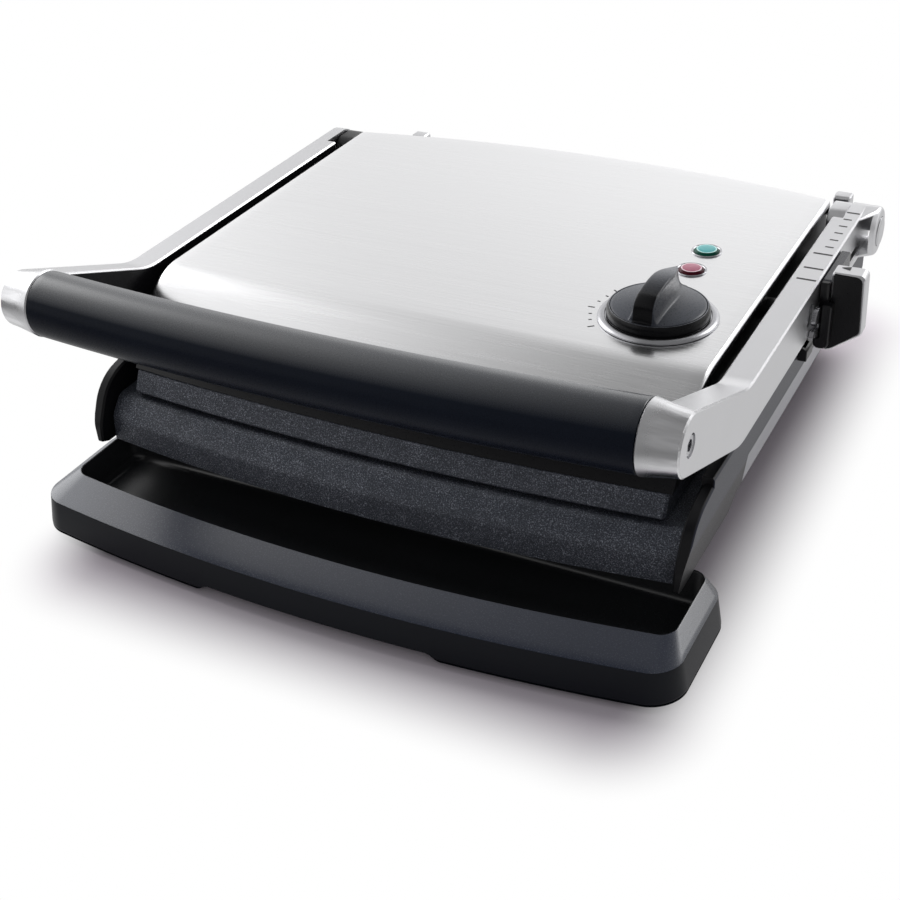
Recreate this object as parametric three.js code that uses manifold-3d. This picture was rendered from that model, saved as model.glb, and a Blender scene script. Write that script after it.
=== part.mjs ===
// Contact grill (panini press) with a floating top plate, built as an assembly of separate pieces.
//
// Units are millimetres and +Z is up. While the pieces are made, x = 0 is the middle of the press, y = 0 is
// the line through the rear corners of the lid, with the front towards -Y, and z = 0 is the worktop. The
// finished group is then moved so that its origin is the middle of its footprint.

import * as THREE from "three";
import { mergeVertices } from "three/addons/utils/BufferGeometryUtils.js";
import Module from "manifold-3d";

const wasm = await Module();
wasm.setup();

// ---------------------------------------------------------------------------------------------------------
// Driving dimensions
// ---------------------------------------------------------------------------------------------------------

const SEAT_GAP = 0.3; // between two pieces that rest on each other
const RUN_GAP = 0.4; // radial or side clearance where one piece moves in another
const ROUND_SIDES = 24; // facets of a plain round piece

// Lid: a thin pressed sheet with a flat top that rolls down at the front.
const LID_HALF_WIDTH = 150;
const LID_TOP = 113;
const LID_SHEET = 1.2;
const LID_FLANGE = 5; // depth of the turned-down edge at the sides
const LID_REAR_HEM = 104; // height of the rear hem
const LID_FRONT_HEM = 88; // height of the front hem
const LID_ROLL_CORNER = -219; // where the flat top would meet the front slope
const LID_ROLL_RADIUS = 32;
const LID_SLOPE = 53; // degrees below horizontal of the front slope
const LID_EDGE_RADIUS = 2.4;
const LID_REAR_RADIUS = 4;
const FRONT_BOW = 7; // how far the front stands forward in the middle
const REAR_BOW = 15; // how far the rear stands back in the middle

// Frame under the lid, and the upper plate that closes it.
const FRAME_BOTTOM = 70.5;
const FRAME_TOP = 111.2;
const FRAME_WALL = 3;
const FRAME_FRONT = LID_ROLL_CORNER - (LID_TOP - FRAME_BOTTOM) / Math.tan(THREE.MathUtils.degToRad(LID_SLOPE));
const FRAME_FRONT_TOP = 99;
const ROLL_START = LID_ROLL_CORNER + 17; // just behind where the flat top starts to roll down
const BOW_STEPS = 12; // straight runs that a bowed edge is made of
const UPPER_PLATE_BOTTOM = 58.5;
const UPPER_PLATE_HALF_WIDTH = LID_HALF_WIDTH - 3;
const UPPER_PLATE_REAR = -12;
const PLATE_SKIN = 5;
const PLATE_RIM = 4;
const GROOVE_DEPTH = 2;
const GROOVE_COUNT = 16;
const GROOVE_PITCH = 17;
const ELEMENT_RADIUS = 3.4;
const ELEMENT_HALF_WIDTH = LID_HALF_WIDTH - 25;

// Lower plate and the apron that drains into the tray.
const LOWER_PLATE_TOP = 57;
const LOWER_PLATE_HALF_WIDTH = LID_HALF_WIDTH + 7.3;
const LOWER_PLATE_REAR = -8;
const APRON_SHOULDER = -255; // where the plate turns down into the apron
const APRON_FRONT = -265;
const APRON_BOTTOM = 34;
const APRON_BOW = 11;

// Base: side walls that run forward into cheeks, a tub between them, and a deck at the rear.
const BASE_HALF_WIDTH = LID_HALF_WIDTH + 14;
const BASE_WALL = 6;
const BASE_WALL_TOP = 76;
const BASE_REAR = 46;
const BASE_REAR_WALL = 4;
const BASE_FRONT_WALL = -238;
const BASE_BOTTOM = 12.3;
const BASE_FLOOR = 2.7;
const BASE_DECK = 55;
const LOWER_SEAT = 50.7; // ledge that the lower plate rests on
const TUB_STEP = 42; // ledge that the lower reflector rests on
const BASE_CORNER_RADIUS = 14;
const CHEEK_TIP = -274;
const CHEEK_JOIN = -178; // where a cheek has run into the base's side
const STRIP_TOP = 58;
const STRIP_BOTTOM = 40;
const STRIP_INSET = 2.5; // how far the strip leans in towards its lower edge
const STRIP_THICKNESS = 1.5;
const STRIP_FRONT = -185;
const STRIP_REAR = 30;
const UNDERCUT_HALF_WIDTH = BASE_HALF_WIDTH - 18;

// Underside.
const COVER_THICKNESS = 3;
const FOOT_RADIUS = 12;
const FOOT_X = UNDERCUT_HALF_WIDTH - 26;
const FOOT_Y = [-206, 28];

// Hinge between the base and the lifting arms.
const HINGE_Y = -3.5;
const HINGE_Z = 99;
const HINGE_PIN_RADIUS = 4.5;
const PIN_HEAD_RADIUS = 7;
const TOWER_INNER = LID_HALF_WIDTH + 1.5;
const TOWER_OUTER = LID_HALF_WIDTH + 11.4;
const TOWER_REACH = 12.2; // from the hinge to the tower's front, rear and top faces

// Lifting arms.
const ARM_INNER = LID_HALF_WIDTH + 6.3;
const ARM_OUTER = ARM_INNER + 14.3;
const ARM_TOP = 112.6;
const ARM_WALL = 3;
const ARM_LIP = 1.2; // silver edge that shows round the inner cover
const ARM_RISE = 21.8; // degrees that the front run rises towards the handle
const ARM_END_RADIUS = 13.8; // round end of the front run, about the handle's axis
const ARM_KINK_BOTTOM = 86.6; // height of the lower edge where the front run starts
const ARM_KINK_RADIUS = 40;
const ARM_COVER_THICKNESS = 2;
const BOSS_FRONT = -22; // where the right arm starts to flare out to the hinge boss
const BOSS_OUTER = ARM_OUTER + 8;
const BOSS_SHOULDER = 2.6;
const BOSS_CAP_RADIUS = 8;
const PIVOT_Y = -114.6;
const PIVOT_Z = 99.2;
const PIVOT_RADIUS = 3;
const PIVOT_HEAD_RADIUS = 5.7;
const PIVOT_BOSS_OUTER = LID_HALF_WIDTH + 2.6;
const ARM_EASE = 0.8;
const ARM_RELIEF = ARM_INNER + 5.9; // inner face of the arm beside the hinge tower
const ARM_RELIEF_REACH = 20; // from the hinge to where the relief starts

// Handle.
const HANDLE_Y = -297;
const HANDLE_Z = 130.1;
const HANDLE_RADIUS = 16.2;
const HANDLE_CAP_RADIUS = 16.5;
const HANDLE_CAP_INNER = LID_HALF_WIDTH + 2.6;
const HANDLE_BOW = 6.4;
const HANDLE_WALL = 5.5;
const HANDLE_BOLT_RADIUS = 4;
const HANDLE_BOLT_HEAD = 5;
const HANDLE_BOLT_REACH = 21.6; // how far a bolt runs into the handle's core

// Height slider on the right arm. Its marks are places of the pointer along the arm.
const MARK_LOCK = -103;
const MARK_OPEN = -89.5;
const MARK_LOW = -71.5;
const MARK_HIGH = -15.5;
const SLIDER_LEAD = 8.6; // from the pointer forward to the paddle's front
const SLIDER_TRAVEL = 64.5; // rearwards from the open mark, to where the paddle meets the boss
const SLIDER_STEM_BEHIND = 7; // from the pointer back to the stem
const SLIDER_STEM_HALF = 3.5;
const SLOT_LOW = 92;
const SLOT_HIGH = 96.6;
const PAD_THICKNESS = 4.6;
const PAD_LENGTH = 39;
const PAD_LOW = 91;
const PAD_HIGH = 110.6;
const PAD_REAR_RADIUS = 3;
const PAD_FACE = ARM_OUTER + SEAT_GAP + PAD_THICKNESS; // outer face of the pad, which carries the paddle
const PADDLE_DEPTH = 10;
const PADDLE_OUTER = ARM_OUTER + 22.9;
const PADDLE_TOP = 117;
const PADDLE_BOTTOM = 72.5;
const PADDLE_KNEE = 84.5; // height of its lower outer corner
const BRACKET_DEPTH = 5.8;
const BRACKET_TOP = 100.5;

// Controls on the lid.
const KNOB_X = LID_HALF_WIDTH - 39.5;
const KNOB_Y = -169;
const KNOB_RADIUS = 25;
const KNOB_LIFT = 1.4; // from the lid's top to the knob's foot
const KNOB_BORE_DEPTH = 8.7; // how far the shaft's bore runs up into the knob
const KNOB_RING_RADIUS = KNOB_RADIUS + 4.2;
const KNOB_TURN = -1; // degrees that the grip is turned from the front-to-rear line
const SHAFT_RADIUS = 3;
const LAMP_X = LID_HALF_WIDTH - 41.5;
const LAMP_Y = [-91, -115];
const LAMP_RADIUS = 6.4;

// Drip tray.
const TRAY_HALF_WIDTH = LID_HALF_WIDTH + 23;
const TRAY_FRONT = -310.6;
const TRAY_REAR = -240.5;
const TRAY_BOW = 14.3;
const TRAY_BOTTOM = 3.8;
const TRAY_BAND_TOP = 21;
const TRAY_RIM = 26;
const TRAY_FRONT_BEVEL = 20.5;
const TRAY_SIDE_BEVEL = 7.5;
const TRAY_REAR_BEVEL = 0.8;
const TRAY_CORNER = 13;
const TRAY_RIM_CORNER = 7.5;
const TRAY_FLOOR = 3;
const HOLD_HALF_WIDTH = 67; // finger hold under the tray's front
const HOLD_HEIGHT = 3.4;
const TONGUE_LOW = 5;
const TONGUE_HIGH = 8;
const TONGUE_X = 60;
const TONGUE_HALF_WIDTH = 8;
const TONGUE_LENGTH = 60;

// Rear.
const STAND_X = LID_HALF_WIDTH - 7;
const STAND_HALF_WIDTH = 5;
const STAND_REAR = 68;
const STAND_TOP = 89.2;
const GLAND_X = 96;
const GLAND_Z = 32;
const GLAND_RADIUS = 6.5;

// ---------------------------------------------------------------------------------------------------------
// Finishes
// ---------------------------------------------------------------------------------------------------------

function finish(color, roughness, metalness) {
  return new THREE.MeshStandardMaterial({ color, roughness, metalness });
}

const FINISH = {
  brushedSteel: finish(0xc9cacd, 0.34, 1),
  castSilver: finish(0xc4c5c9, 0.42, 1),
  plainSteel: finish(0xa9abaf, 0.4, 1),
  slate: finish(0x50545f, 0.45, 0),
  trim: finish(0xa3a5aa, 0.4, 0.6),
  black: finish(0x17191c, 0.4, 0),
  gloss: finish(0x0c0d0f, 0.2, 0),
  grip: finish(0x1d2126, 0.6, 0),
  nonStick: finish(0x2b2e33, 0.5, 0.2),
  knob: finish(0x34373d, 0.45, 0),
  rubber: finish(0x141414, 0.9, 0),
  element: finish(0x5a524c, 0.6, 0.8),
  ceramic: finish(0xe6e1d6, 0.6, 0),
  greenLens: finish(0x1f8f84, 0.15, 0),
  redLens: finish(0xb2485c, 0.15, 0),
};

// ---------------------------------------------------------------------------------------------------------
// Making solids
// ---------------------------------------------------------------------------------------------------------

/** A closed geometry as a solid that can be joined and cut. */
function solidOf(geometry) {
  const bare = geometry.clone();
  for (const name of Object.keys(bare.attributes)) {
    if (name !== "position") bare.deleteAttribute(name);
  }
  const merged = mergeVertices(bare, 1e-4);
  const index = merged.index.array;
  const kept = [];
  for (let i = 0; i < index.length; i += 3) {
    const [a, b, c] = [index[i], index[i + 1], index[i + 2]];
    if (a !== b && b !== c && c !== a) kept.push(a, b, c);
  }
  const mesh = new wasm.Mesh({
    numProp: 3,
    vertProperties: new Float32Array(merged.attributes.position.array),
    triVerts: new Uint32Array(kept),
  });
  return new wasm.Manifold(mesh);
}

/** A solid back as a geometry for a mesh. */
function geometryOf(solid) {
  const mesh = solid.getMesh();
  const geometry = new THREE.BufferGeometry();
  geometry.setAttribute("position", new THREE.BufferAttribute(new Float32Array(mesh.vertProperties), 3));
  geometry.setIndex(new THREE.BufferAttribute(new Uint32Array(mesh.triVerts), 1));
  geometry.computeVertexNormals();
  return geometry;
}

function join(first, ...others) {
  return others.reduce((sum, other) => sum.add(other), first);
}

function cut(first, ...others) {
  return others.reduce((rest, other) => rest.subtract(other), first);
}

/** The same solid on the other side of the middle plane. */
function mirrored(solid) {
  const geometry = geometryOf(solid);
  geometry.applyMatrix4(new THREE.Matrix4().makeScale(-1, 1, 1));
  const index = geometry.index.array;
  for (let i = 0; i < index.length; i += 3) {
    [index[i + 1], index[i + 2]] = [index[i + 2], index[i + 1]];
  }
  return solidOf(geometry);
}

/** The points of an arc, from one angle to another in degrees, both ends included. */
function arc(centreA, centreB, radius, fromDegrees, toDegrees, pieces) {
  return Array.from({ length: pieces + 1 }, (_, i) => {
    const angle = THREE.MathUtils.degToRad(fromDegrees + ((toDegrees - fromDegrees) * i) / pieces);
    return [centreA + radius * Math.cos(angle), centreB + radius * Math.sin(angle)];
  });
}

/** A closed outline from corners [a, b] or [a, b, radius], with each radius worked out as an arc. */
function outline(corners) {
  const points = [];
  corners.forEach(([a, b, radius = 0], i) => {
    if (radius === 0) {
      points.push(new THREE.Vector2(a, b));
      return;
    }
    const pieces = Math.min(7, 1 + Math.round(Math.sqrt(radius) * 1.3));
    const here = new THREE.Vector2(a, b);
    const last = new THREE.Vector2(...corners.at(i - 1).slice(0, 2));
    const next = new THREE.Vector2(...corners[(i + 1) % corners.length].slice(0, 2));
    const back = last.sub(here).normalize();
    const ahead = next.sub(here).normalize();
    const half = Math.acos(THREE.MathUtils.clamp(back.dot(ahead), -1, 1)) / 2;
    const centre = here.clone().addScaledVector(back.clone().add(ahead).normalize(), radius / Math.sin(half));
    const from = here.clone().addScaledVector(back, radius / Math.tan(half)).sub(centre);
    const to = here.clone().addScaledVector(ahead, radius / Math.tan(half)).sub(centre);
    const start = from.angle();
    let turn = to.angle() - start;
    if (turn > Math.PI) turn -= 2 * Math.PI;
    if (turn < -Math.PI) turn += 2 * Math.PI;
    for (let k = 0; k <= pieces; k += 1) {
      const angle = start + (turn * k) / pieces;
      points.push(new THREE.Vector2(centre.x + radius * Math.cos(angle), centre.y + radius * Math.sin(angle)));
    }
  });
  return points;
}

/** The corners of a closed outline moved inwards by a distance, with their radii kept concentric. */
function inset(corners, distance) {
  const area = corners.reduce((sum, [a, b], i) => {
    const [c, d] = corners[(i + 1) % corners.length];
    return sum + a * d - c * b;
  }, 0);
  const side = Math.sign(area);
  const lines = corners.map(([a, b], i) => {
    const [c, d] = corners[(i + 1) % corners.length];
    const length = Math.hypot(c - a, d - b);
    const normal = [(-side * (d - b)) / length, (side * (c - a)) / length];
    return { point: [a + normal[0] * distance, b + normal[1] * distance], along: [c - a, d - b] };
  });
  return corners.map(([, , radius = 0], i) => {
    const [one, two] = [lines.at(i - 1), lines[i]];
    const cross = one.along[0] * two.along[1] - one.along[1] * two.along[0];
    const [da, db] = [two.point[0] - one.point[0], two.point[1] - one.point[1]];
    const t = (da * two.along[1] - db * two.along[0]) / cross;
    const convex = Math.sign(cross) === side;
    const rounder = radius === 0 ? 0 : Math.max(0, radius - (convex ? distance : -distance));
    return [one.point[0] + one.along[0] * t, one.point[1] + one.along[1] * t, rounder];
  });
}

const AXES = {
  // An outline in (y, z), carried along x.
  x: new THREE.Matrix4().makeBasis(
    new THREE.Vector3(0, 1, 0),
    new THREE.Vector3(0, 0, 1),
    new THREE.Vector3(1, 0, 0),
  ),
  // An outline in (x, z), carried along -y.
  y: new THREE.Matrix4().makeBasis(
    new THREE.Vector3(1, 0, 0),
    new THREE.Vector3(0, 0, 1),
    new THREE.Vector3(0, -1, 0),
  ),
  // An outline in (x, y), carried along z.
  z: new THREE.Matrix4(),
};

/** The geometry of an outline carried along an axis from one station to another, with eased ends. */
function prismGeometry(axis, points, from, to, { ease = 0, steps = 1 } = {}) {
  const geometry = new THREE.ExtrudeGeometry(new THREE.Shape(points), {
    depth: to - from - 2 * ease,
    bevelEnabled: ease > 0,
    bevelThickness: ease,
    bevelSize: ease,
    bevelOffset: -ease,
    bevelSegments: 1,
    steps,
  });
  geometry.translate(0, 0, ease + (axis === "y" ? -to : from));
  return geometry.applyMatrix4(AXES[axis]);
}

function prism(axis, corners, from, to, options) {
  return solidOf(prismGeometry(axis, outline(corners), from, to, options));
}

/** A box given by its lowest and highest corner. */
function block([x0, y0, z0], [x1, y1, z1]) {
  const geometry = new THREE.BoxGeometry(x1 - x0, y1 - y0, z1 - z0);
  return solidOf(geometry.translate((x0 + x1) / 2, (y0 + y1) / 2, (z0 + z1) / 2));
}

/** A profile of [radius, height] corners turned about an axis through a centre. */
function turned(axis, profile, centre, sides = ROUND_SIDES) {
  const points = profile.map(([radius, height]) => new THREE.Vector2(radius, height));
  const geometry = new THREE.LatheGeometry(points, sides);
  if (axis === "z") geometry.rotateX(Math.PI / 2);
  if (axis === "x") geometry.rotateZ(-Math.PI / 2);
  geometry.translate(...centre);
  return solidOf(oriented(geometry));
}

/** A round rod between two stations on an axis. */
function rod(axis, radius, from, to, [a, b], sides = ROUND_SIDES) {
  const profile = [[0, from], [radius, from], [radius, to], [0, to]];
  const centre = axis === "x" ? [0, a, b] : axis === "y" ? [a, 0, b] : [a, b, 0];
  return turned(axis, profile, centre, sides);
}

/** Turns the faces of a closed geometry outwards if its volume comes out negative. */
function oriented(geometry) {
  const position = geometry.attributes.position;
  const index = geometry.index.array;
  const [a, b, c] = [new THREE.Vector3(), new THREE.Vector3(), new THREE.Vector3()];
  let volume = 0;
  for (let i = 0; i < index.length; i += 3) {
    a.fromBufferAttribute(position, index[i]);
    b.fromBufferAttribute(position, index[i + 1]);
    c.fromBufferAttribute(position, index[i + 2]);
    volume += a.dot(b.cross(c));
  }
  if (volume < 0) {
    for (let i = 0; i < index.length; i += 3) {
      [index[i + 1], index[i + 2]] = [index[i + 2], index[i + 1]];
    }
  }
  return geometry;
}

/** A closed skin through rings with the same number of points, each end closed by a fan to its middle. */
function loft(rings) {
  const count = rings[0].length;
  const ends = [rings[0], rings.at(-1)].map((ring) =>
    ring.reduce((sum, point) => sum.add(point), new THREE.Vector3()).divideScalar(count),
  );
  const positions = [...rings.flat(), ...ends].flatMap((point) => point.toArray());
  const last = (rings.length - 1) * count;
  const index = [];
  for (let k = 0; k < count; k += 1) {
    const next = (k + 1) % count;
    for (let start = 0; start < last; start += count) {
      const [a, b] = [start + k, start + next];
      index.push(a, b, b + count, a, b + count, a + count);
    }
    index.push(next, k, last + count, last + k, last + next, last + count + 1);
  }
  const geometry = new THREE.BufferGeometry();
  geometry.setAttribute("position", new THREE.Float32BufferAttribute(positions, 3));
  geometry.setIndex(index);
  return solidOf(oriented(geometry));
}

/** Each point of a geometry moved along y by a share of a bow that is full in the middle of the width. */
function bowed(geometry, halfWidth, bowAt) {
  const position = geometry.attributes.position;
  for (let i = 0; i < position.count; i += 1) {
    const [x, y] = [position.getX(i), position.getY(i)];
    position.setY(i, y + bowAt(y) * (1 - (x / halfWidth) ** 2));
  }
  return geometry;
}

/** How far the front and rear of the top housing stand out at a station, in the middle of the width. */
function housingBow(y) {
  const middle = LID_ROLL_CORNER / 2;
  if (y > middle) return (REAR_BOW * (y - middle)) / -middle;
  return (-FRONT_BOW * (middle - y)) / (middle - FRAME_FRONT);
}

/** How far the front of the lower plate and its apron stand out at a station. */
function apronBow(y) {
  const middle = LID_ROLL_CORNER / 2;
  if (y > middle) return 0;
  if (y > APRON_SHOULDER) return (-FRONT_BOW * (middle - y)) / (middle - APRON_SHOULDER);
  return -FRONT_BOW - ((APRON_BOW - FRONT_BOW) * (APRON_SHOULDER - y)) / (APRON_SHOULDER - APRON_FRONT);
}

/** A profile in (y, z) carried across the width and bowed. */
function bowedPrism(corners, halfWidth, bowAt, ease = 0) {
  const geometry = prismGeometry("x", outline(corners), -halfWidth, halfWidth, { ease, steps: BOW_STEPS });
  return solidOf(bowed(geometry, LID_HALF_WIDTH, bowAt));
}

/** A tube or bar of round section through points in a level plane, mitred at each point. */
function pipe(points, radius, sides) {
  const rings = points.map((point, i) => {
    const before = points[Math.max(0, i - 1)];
    const after = points[Math.min(points.length - 1, i + 1)];
    const along = after.clone().sub(before).normalize();
    const across = new THREE.Vector3(-along.y, along.x, 0);
    return Array.from({ length: sides }, (_, k) => {
      const angle = (2 * Math.PI * k) / sides;
      const place = point.clone().addScaledVector(across, radius * Math.cos(angle));
      return place.add(new THREE.Vector3(0, 0, radius * Math.sin(angle)));
    });
  });
  return loft(rings);
}

/** A level ring: a rectangle with rounded corners whose front edge is bowed forward. */
function planRing({ halfWidth, front, rear, corner, bow = 0, bowWidth = halfWidth }, inward, z) {
  const [half, near, far] = [halfWidth - inward, front + inward, rear - inward];
  const radius = Math.max(1, corner - inward);
  const points = [
    ...arc(half - radius, near + radius, radius, -90, 0, 6),
    ...arc(half - radius, far - radius, radius, 0, 90, 6),
    ...arc(-half + radius, far - radius, radius, 90, 180, 6),
    ...arc(-half + radius, near + radius, radius, 180, 270, 6),
  ];
  const span = half - radius;
  for (let k = 1; k < 12; k += 1) points.push([-span + (2 * span * k) / 12, near]);
  return points.map(([x, y]) => {
    const share = THREE.MathUtils.clamp((y - (far - radius)) / (near - (far - radius)), 0, 1);
    return new THREE.Vector3(x, y - bow * share * (1 - (x / bowWidth) ** 2), z);
  });
}

// ---------------------------------------------------------------------------------------------------------
// Top housing: lid, frame, upper plate and controls
// ---------------------------------------------------------------------------------------------------------

/** The side profile that the lid, frame and upper plate share, down to a level. */
function housingProfile(bottom) {
  const slope = Math.tan(THREE.MathUtils.degToRad(LID_SLOPE));
  return [
    [0, bottom],
    [0, LID_TOP, LID_REAR_RADIUS],
    [LID_ROLL_CORNER, LID_TOP, LID_ROLL_RADIUS],
    [LID_ROLL_CORNER - (LID_TOP - bottom) / slope, bottom],
  ];
}

/** The housing profile moved inwards, but still open down to a level below it. */
function housingPocket(distance, bottom) {
  return inset(housingProfile(bottom - distance), distance);
}

function lidCover() {
  const low = FRAME_BOTTOM;
  const outer = bowedPrism(housingProfile(low), LID_HALF_WIDTH, housingBow, LID_EDGE_RADIUS);
  const inner = bowedPrism(housingPocket(LID_SHEET, low - 5), LID_HALF_WIDTH - LID_SHEET, housingBow);
  const belowFlange = bowedPrism(housingPocket(LID_FLANGE, low - 5), LID_HALF_WIDTH + 5, housingBow);
  const [front, rear, wide] = [FRAME_FRONT - 20, REAR_BOW + 20, LID_HALF_WIDTH + 20];
  const belowRear = block([-wide, -40, low - 10], [wide, rear, LID_REAR_HEM]);
  const belowFront = block([-wide, front, low - 10], [wide, LID_ROLL_CORNER + 20, LID_FRONT_HEM]);
  const holes = [
    rod("z", SHAFT_RADIUS + 2.3, LID_TOP - 13, LID_TOP + 17, [KNOB_X, KNOB_Y]),
    ...LAMP_Y.map((y) => rod("z", LAMP_RADIUS + RUN_GAP, LID_TOP - 13, LID_TOP + 17, [LAMP_X, y])),
  ];
  return cut(outer, inner, belowFlange, belowRear, belowFront, ...holes);
}

/** A tub under the lid, open at the top, that carries the upper plate and the pivots of the arms. */
function topFrame() {
  const play = LID_SHEET + SEAT_GAP;
  const half = LID_HALF_WIDTH - play;
  const above = 20;
  const slope = Math.tan(THREE.MathUtils.degToRad(LID_SLOPE));
  const openTop = [
    [0, 40],
    [0, LID_TOP + above],
    [LID_ROLL_CORNER + above / slope, LID_TOP + above],
    [LID_ROLL_CORNER - (LID_TOP - 40) / slope, 40],
  ];
  const around = bowedPrism(housingPocket(play, FRAME_BOTTOM - 20.5), half, housingBow);
  const level = block([-half - 1, FRAME_FRONT - 40, FRAME_BOTTOM], [half + 1, REAR_BOW + 20, FRAME_TOP]);
  const inside = bowedPrism(inset(openTop, play + FRAME_WALL), half - FRAME_WALL, housingBow);
  const aboveFloor = block(
    [-half, FRAME_FRONT - 40, FRAME_BOTTOM + FRAME_WALL],
    [half, REAR_BOW + 20, LID_TOP + above],
  );
  const rollClear = block([-half - 1, FRAME_FRONT - 40, FRAME_FRONT_TOP], [half + 1, ROLL_START, LID_TOP]);
  const window = block([-half + 12.5, FRAME_FRONT + 14, 40], [half - 12.5, UPPER_PLATE_REAR - 6, 100]);
  const shell = cut(around.intersect(level), inside.intersect(aboveFloor), rollClear, window);
  const bossInner = half - FRAME_WALL;
  const boss = rod("x", PIVOT_HEAD_RADIUS, bossInner - 0.5, PIVOT_BOSS_OUTER, [PIVOT_Y, PIVOT_Z]);
  const bore = rod("x", PIVOT_RADIUS + SEAT_GAP, -ARM_OUTER, ARM_OUTER, [PIVOT_Y, PIVOT_Z]);
  return cut(join(shell, boss, mirrored(boss)), bore);
}

/** Tapered grooves that run from front to rear in a plate's face, with their mouths at a level. */
function grooves(mouth, floor, front, rear) {
  const first = (-(GROOVE_COUNT - 1) * GROOVE_PITCH) / 2;
  const lean = 1.6;
  const over = mouth + Math.sign(mouth - floor) * 2;
  return Array.from({ length: GROOVE_COUNT }, (_, i) => {
    const x = first + i * GROOVE_PITCH;
    const half = GROOVE_PITCH / 2 - 2;
    const corners = [
      [x - half, over],
      [x - half, mouth],
      [x - half + lean, floor],
      [x + half - lean, floor],
      [x + half, mouth],
      [x + half, over],
    ];
    return prism("y", corners, front, rear);
  });
}

function upperPlate() {
  const top = FRAME_BOTTOM - SEAT_GAP;
  const slope = Math.tan(THREE.MathUtils.degToRad(LID_SLOPE));
  const front = FRAME_FRONT + 1;
  const profile = [
    [UPPER_PLATE_REAR, UPPER_PLATE_BOTTOM, 2],
    [UPPER_PLATE_REAR, top],
    [front, top],
    [front - (top - UPPER_PLATE_BOTTOM) / (slope * 1.6), UPPER_PLATE_BOTTOM, 2],
  ];
  const slab = bowedPrism(profile, UPPER_PLATE_HALF_WIDTH, housingBow, 1.2);
  const pocket = block(
    [-UPPER_PLATE_HALF_WIDTH + PLATE_RIM, front + PLATE_RIM, UPPER_PLATE_BOTTOM + PLATE_SKIN],
    [UPPER_PLATE_HALF_WIDTH - PLATE_RIM, UPPER_PLATE_REAR - PLATE_RIM - 1, top + 5],
  );
  const low = UPPER_PLATE_BOTTOM;
  return cut(slab, pocket, ...grooves(low, low + GROOVE_DEPTH, front + 6, UPPER_PLATE_REAR - 8));
}

/** A tubular element bent into a loop that is open at the rear, level at a height. */
function elementLoop(z, halfWidth, front, rear) {
  const bend = 22;
  const path = [
    [24, rear],
    ...arc(halfWidth - bend, rear - bend, bend, 90, 0, 4),
    ...arc(halfWidth - bend, front + bend, bend, 0, -90, 4),
    ...arc(-halfWidth + bend, front + bend, bend, -90, -180, 4),
    ...arc(-halfWidth + bend, rear - bend, bend, 180, 90, 4),
    [-24, rear],
  ];
  return pipe(path.map(([x, y]) => new THREE.Vector3(x, y, z)), ELEMENT_RADIUS, 10);
}

/** A thin sheet pan, with its flange at one level and its floor raised or sunk to another. */
function reflector(size, lip, flange, floor) {
  const sheet = 0.8;
  const under = [
    planRing(size, 0, flange),
    planRing(size, lip, flange),
    planRing(size, lip + 4, floor),
    planRing(size, 40, floor),
  ];
  const above = under.map((ring) => ring.map((point) => new THREE.Vector3(point.x, point.y, point.z + sheet)));
  return loft([...under.toReversed(), ...above]);
}

function thermostat() {
  const top = LID_TOP - LID_SHEET - SEAT_GAP;
  const body = prism(
    "z",
    [
      [KNOB_X - 17, KNOB_Y - 14, 3],
      [KNOB_X + 17, KNOB_Y - 14, 3],
      [KNOB_X + 17, KNOB_Y + 14, 3],
      [KNOB_X - 17, KNOB_Y + 14, 3],
    ],
    top - 18,
    top,
  );
  const bush = rod("z", SHAFT_RADIUS + 1.9, top - 1, LID_TOP + 1.2, [KNOB_X, KNOB_Y]);
  const bore = rod("z", SHAFT_RADIUS + SEAT_GAP, top - 12, LID_TOP + 5, [KNOB_X, KNOB_Y]);
  return cut(join(body, bush), bore);
}

/** A domed lens with a flange that holds it under the lid. */
function lampLens(y) {
  const flangeTop = LID_TOP - LID_SHEET - SEAT_GAP;
  const dome = arc(0, LID_TOP, LAMP_RADIUS, 20, 90, 5).map(([r, z]) => [r, z - 2.2]);
  const profile = [
    [0, flangeTop - 6],
    [LAMP_RADIUS + 2, flangeTop - 6],
    [LAMP_RADIUS + 2, flangeTop],
    [LAMP_RADIUS, flangeTop],
    [LAMP_RADIUS, LID_TOP],
    ...dome.slice(0, -1),
    [0, dome.at(-1)[1]],
  ];
  return turned("z", profile, [LAMP_X, y, 0], 20);
}

function lampBezel(y) {
  const profile = [
    [LAMP_RADIUS + RUN_GAP, LID_TOP + SEAT_GAP],
    [LAMP_RADIUS + 2.2, LID_TOP + SEAT_GAP],
    [LAMP_RADIUS + 1.9, LID_TOP + 1],
    [LAMP_RADIUS + 1, LID_TOP + 1.6],
    [LAMP_RADIUS + RUN_GAP, LID_TOP + 1.3],
    [LAMP_RADIUS + RUN_GAP, LID_TOP + SEAT_GAP],
  ];
  return turned("z", profile, [LAMP_X, y, 0], 20);
}

function knobRing() {
  const low = LID_TOP + SEAT_GAP;
  const profile = [
    [KNOB_RADIUS - 4, low],
    [KNOB_RING_RADIUS, low],
    [KNOB_RING_RADIUS, low + 0.8],
    [KNOB_RING_RADIUS - 1.2, low + 1.8],
    [KNOB_RADIUS + 0.8, low + 1.8],
    [KNOB_RADIUS + 0.6, low + 0.8],
    [KNOB_RADIUS - 4, low + 0.8],
    [KNOB_RADIUS - 4, low],
  ];
  return turned("z", profile, [KNOB_X, KNOB_Y, 0], 36);
}

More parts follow.
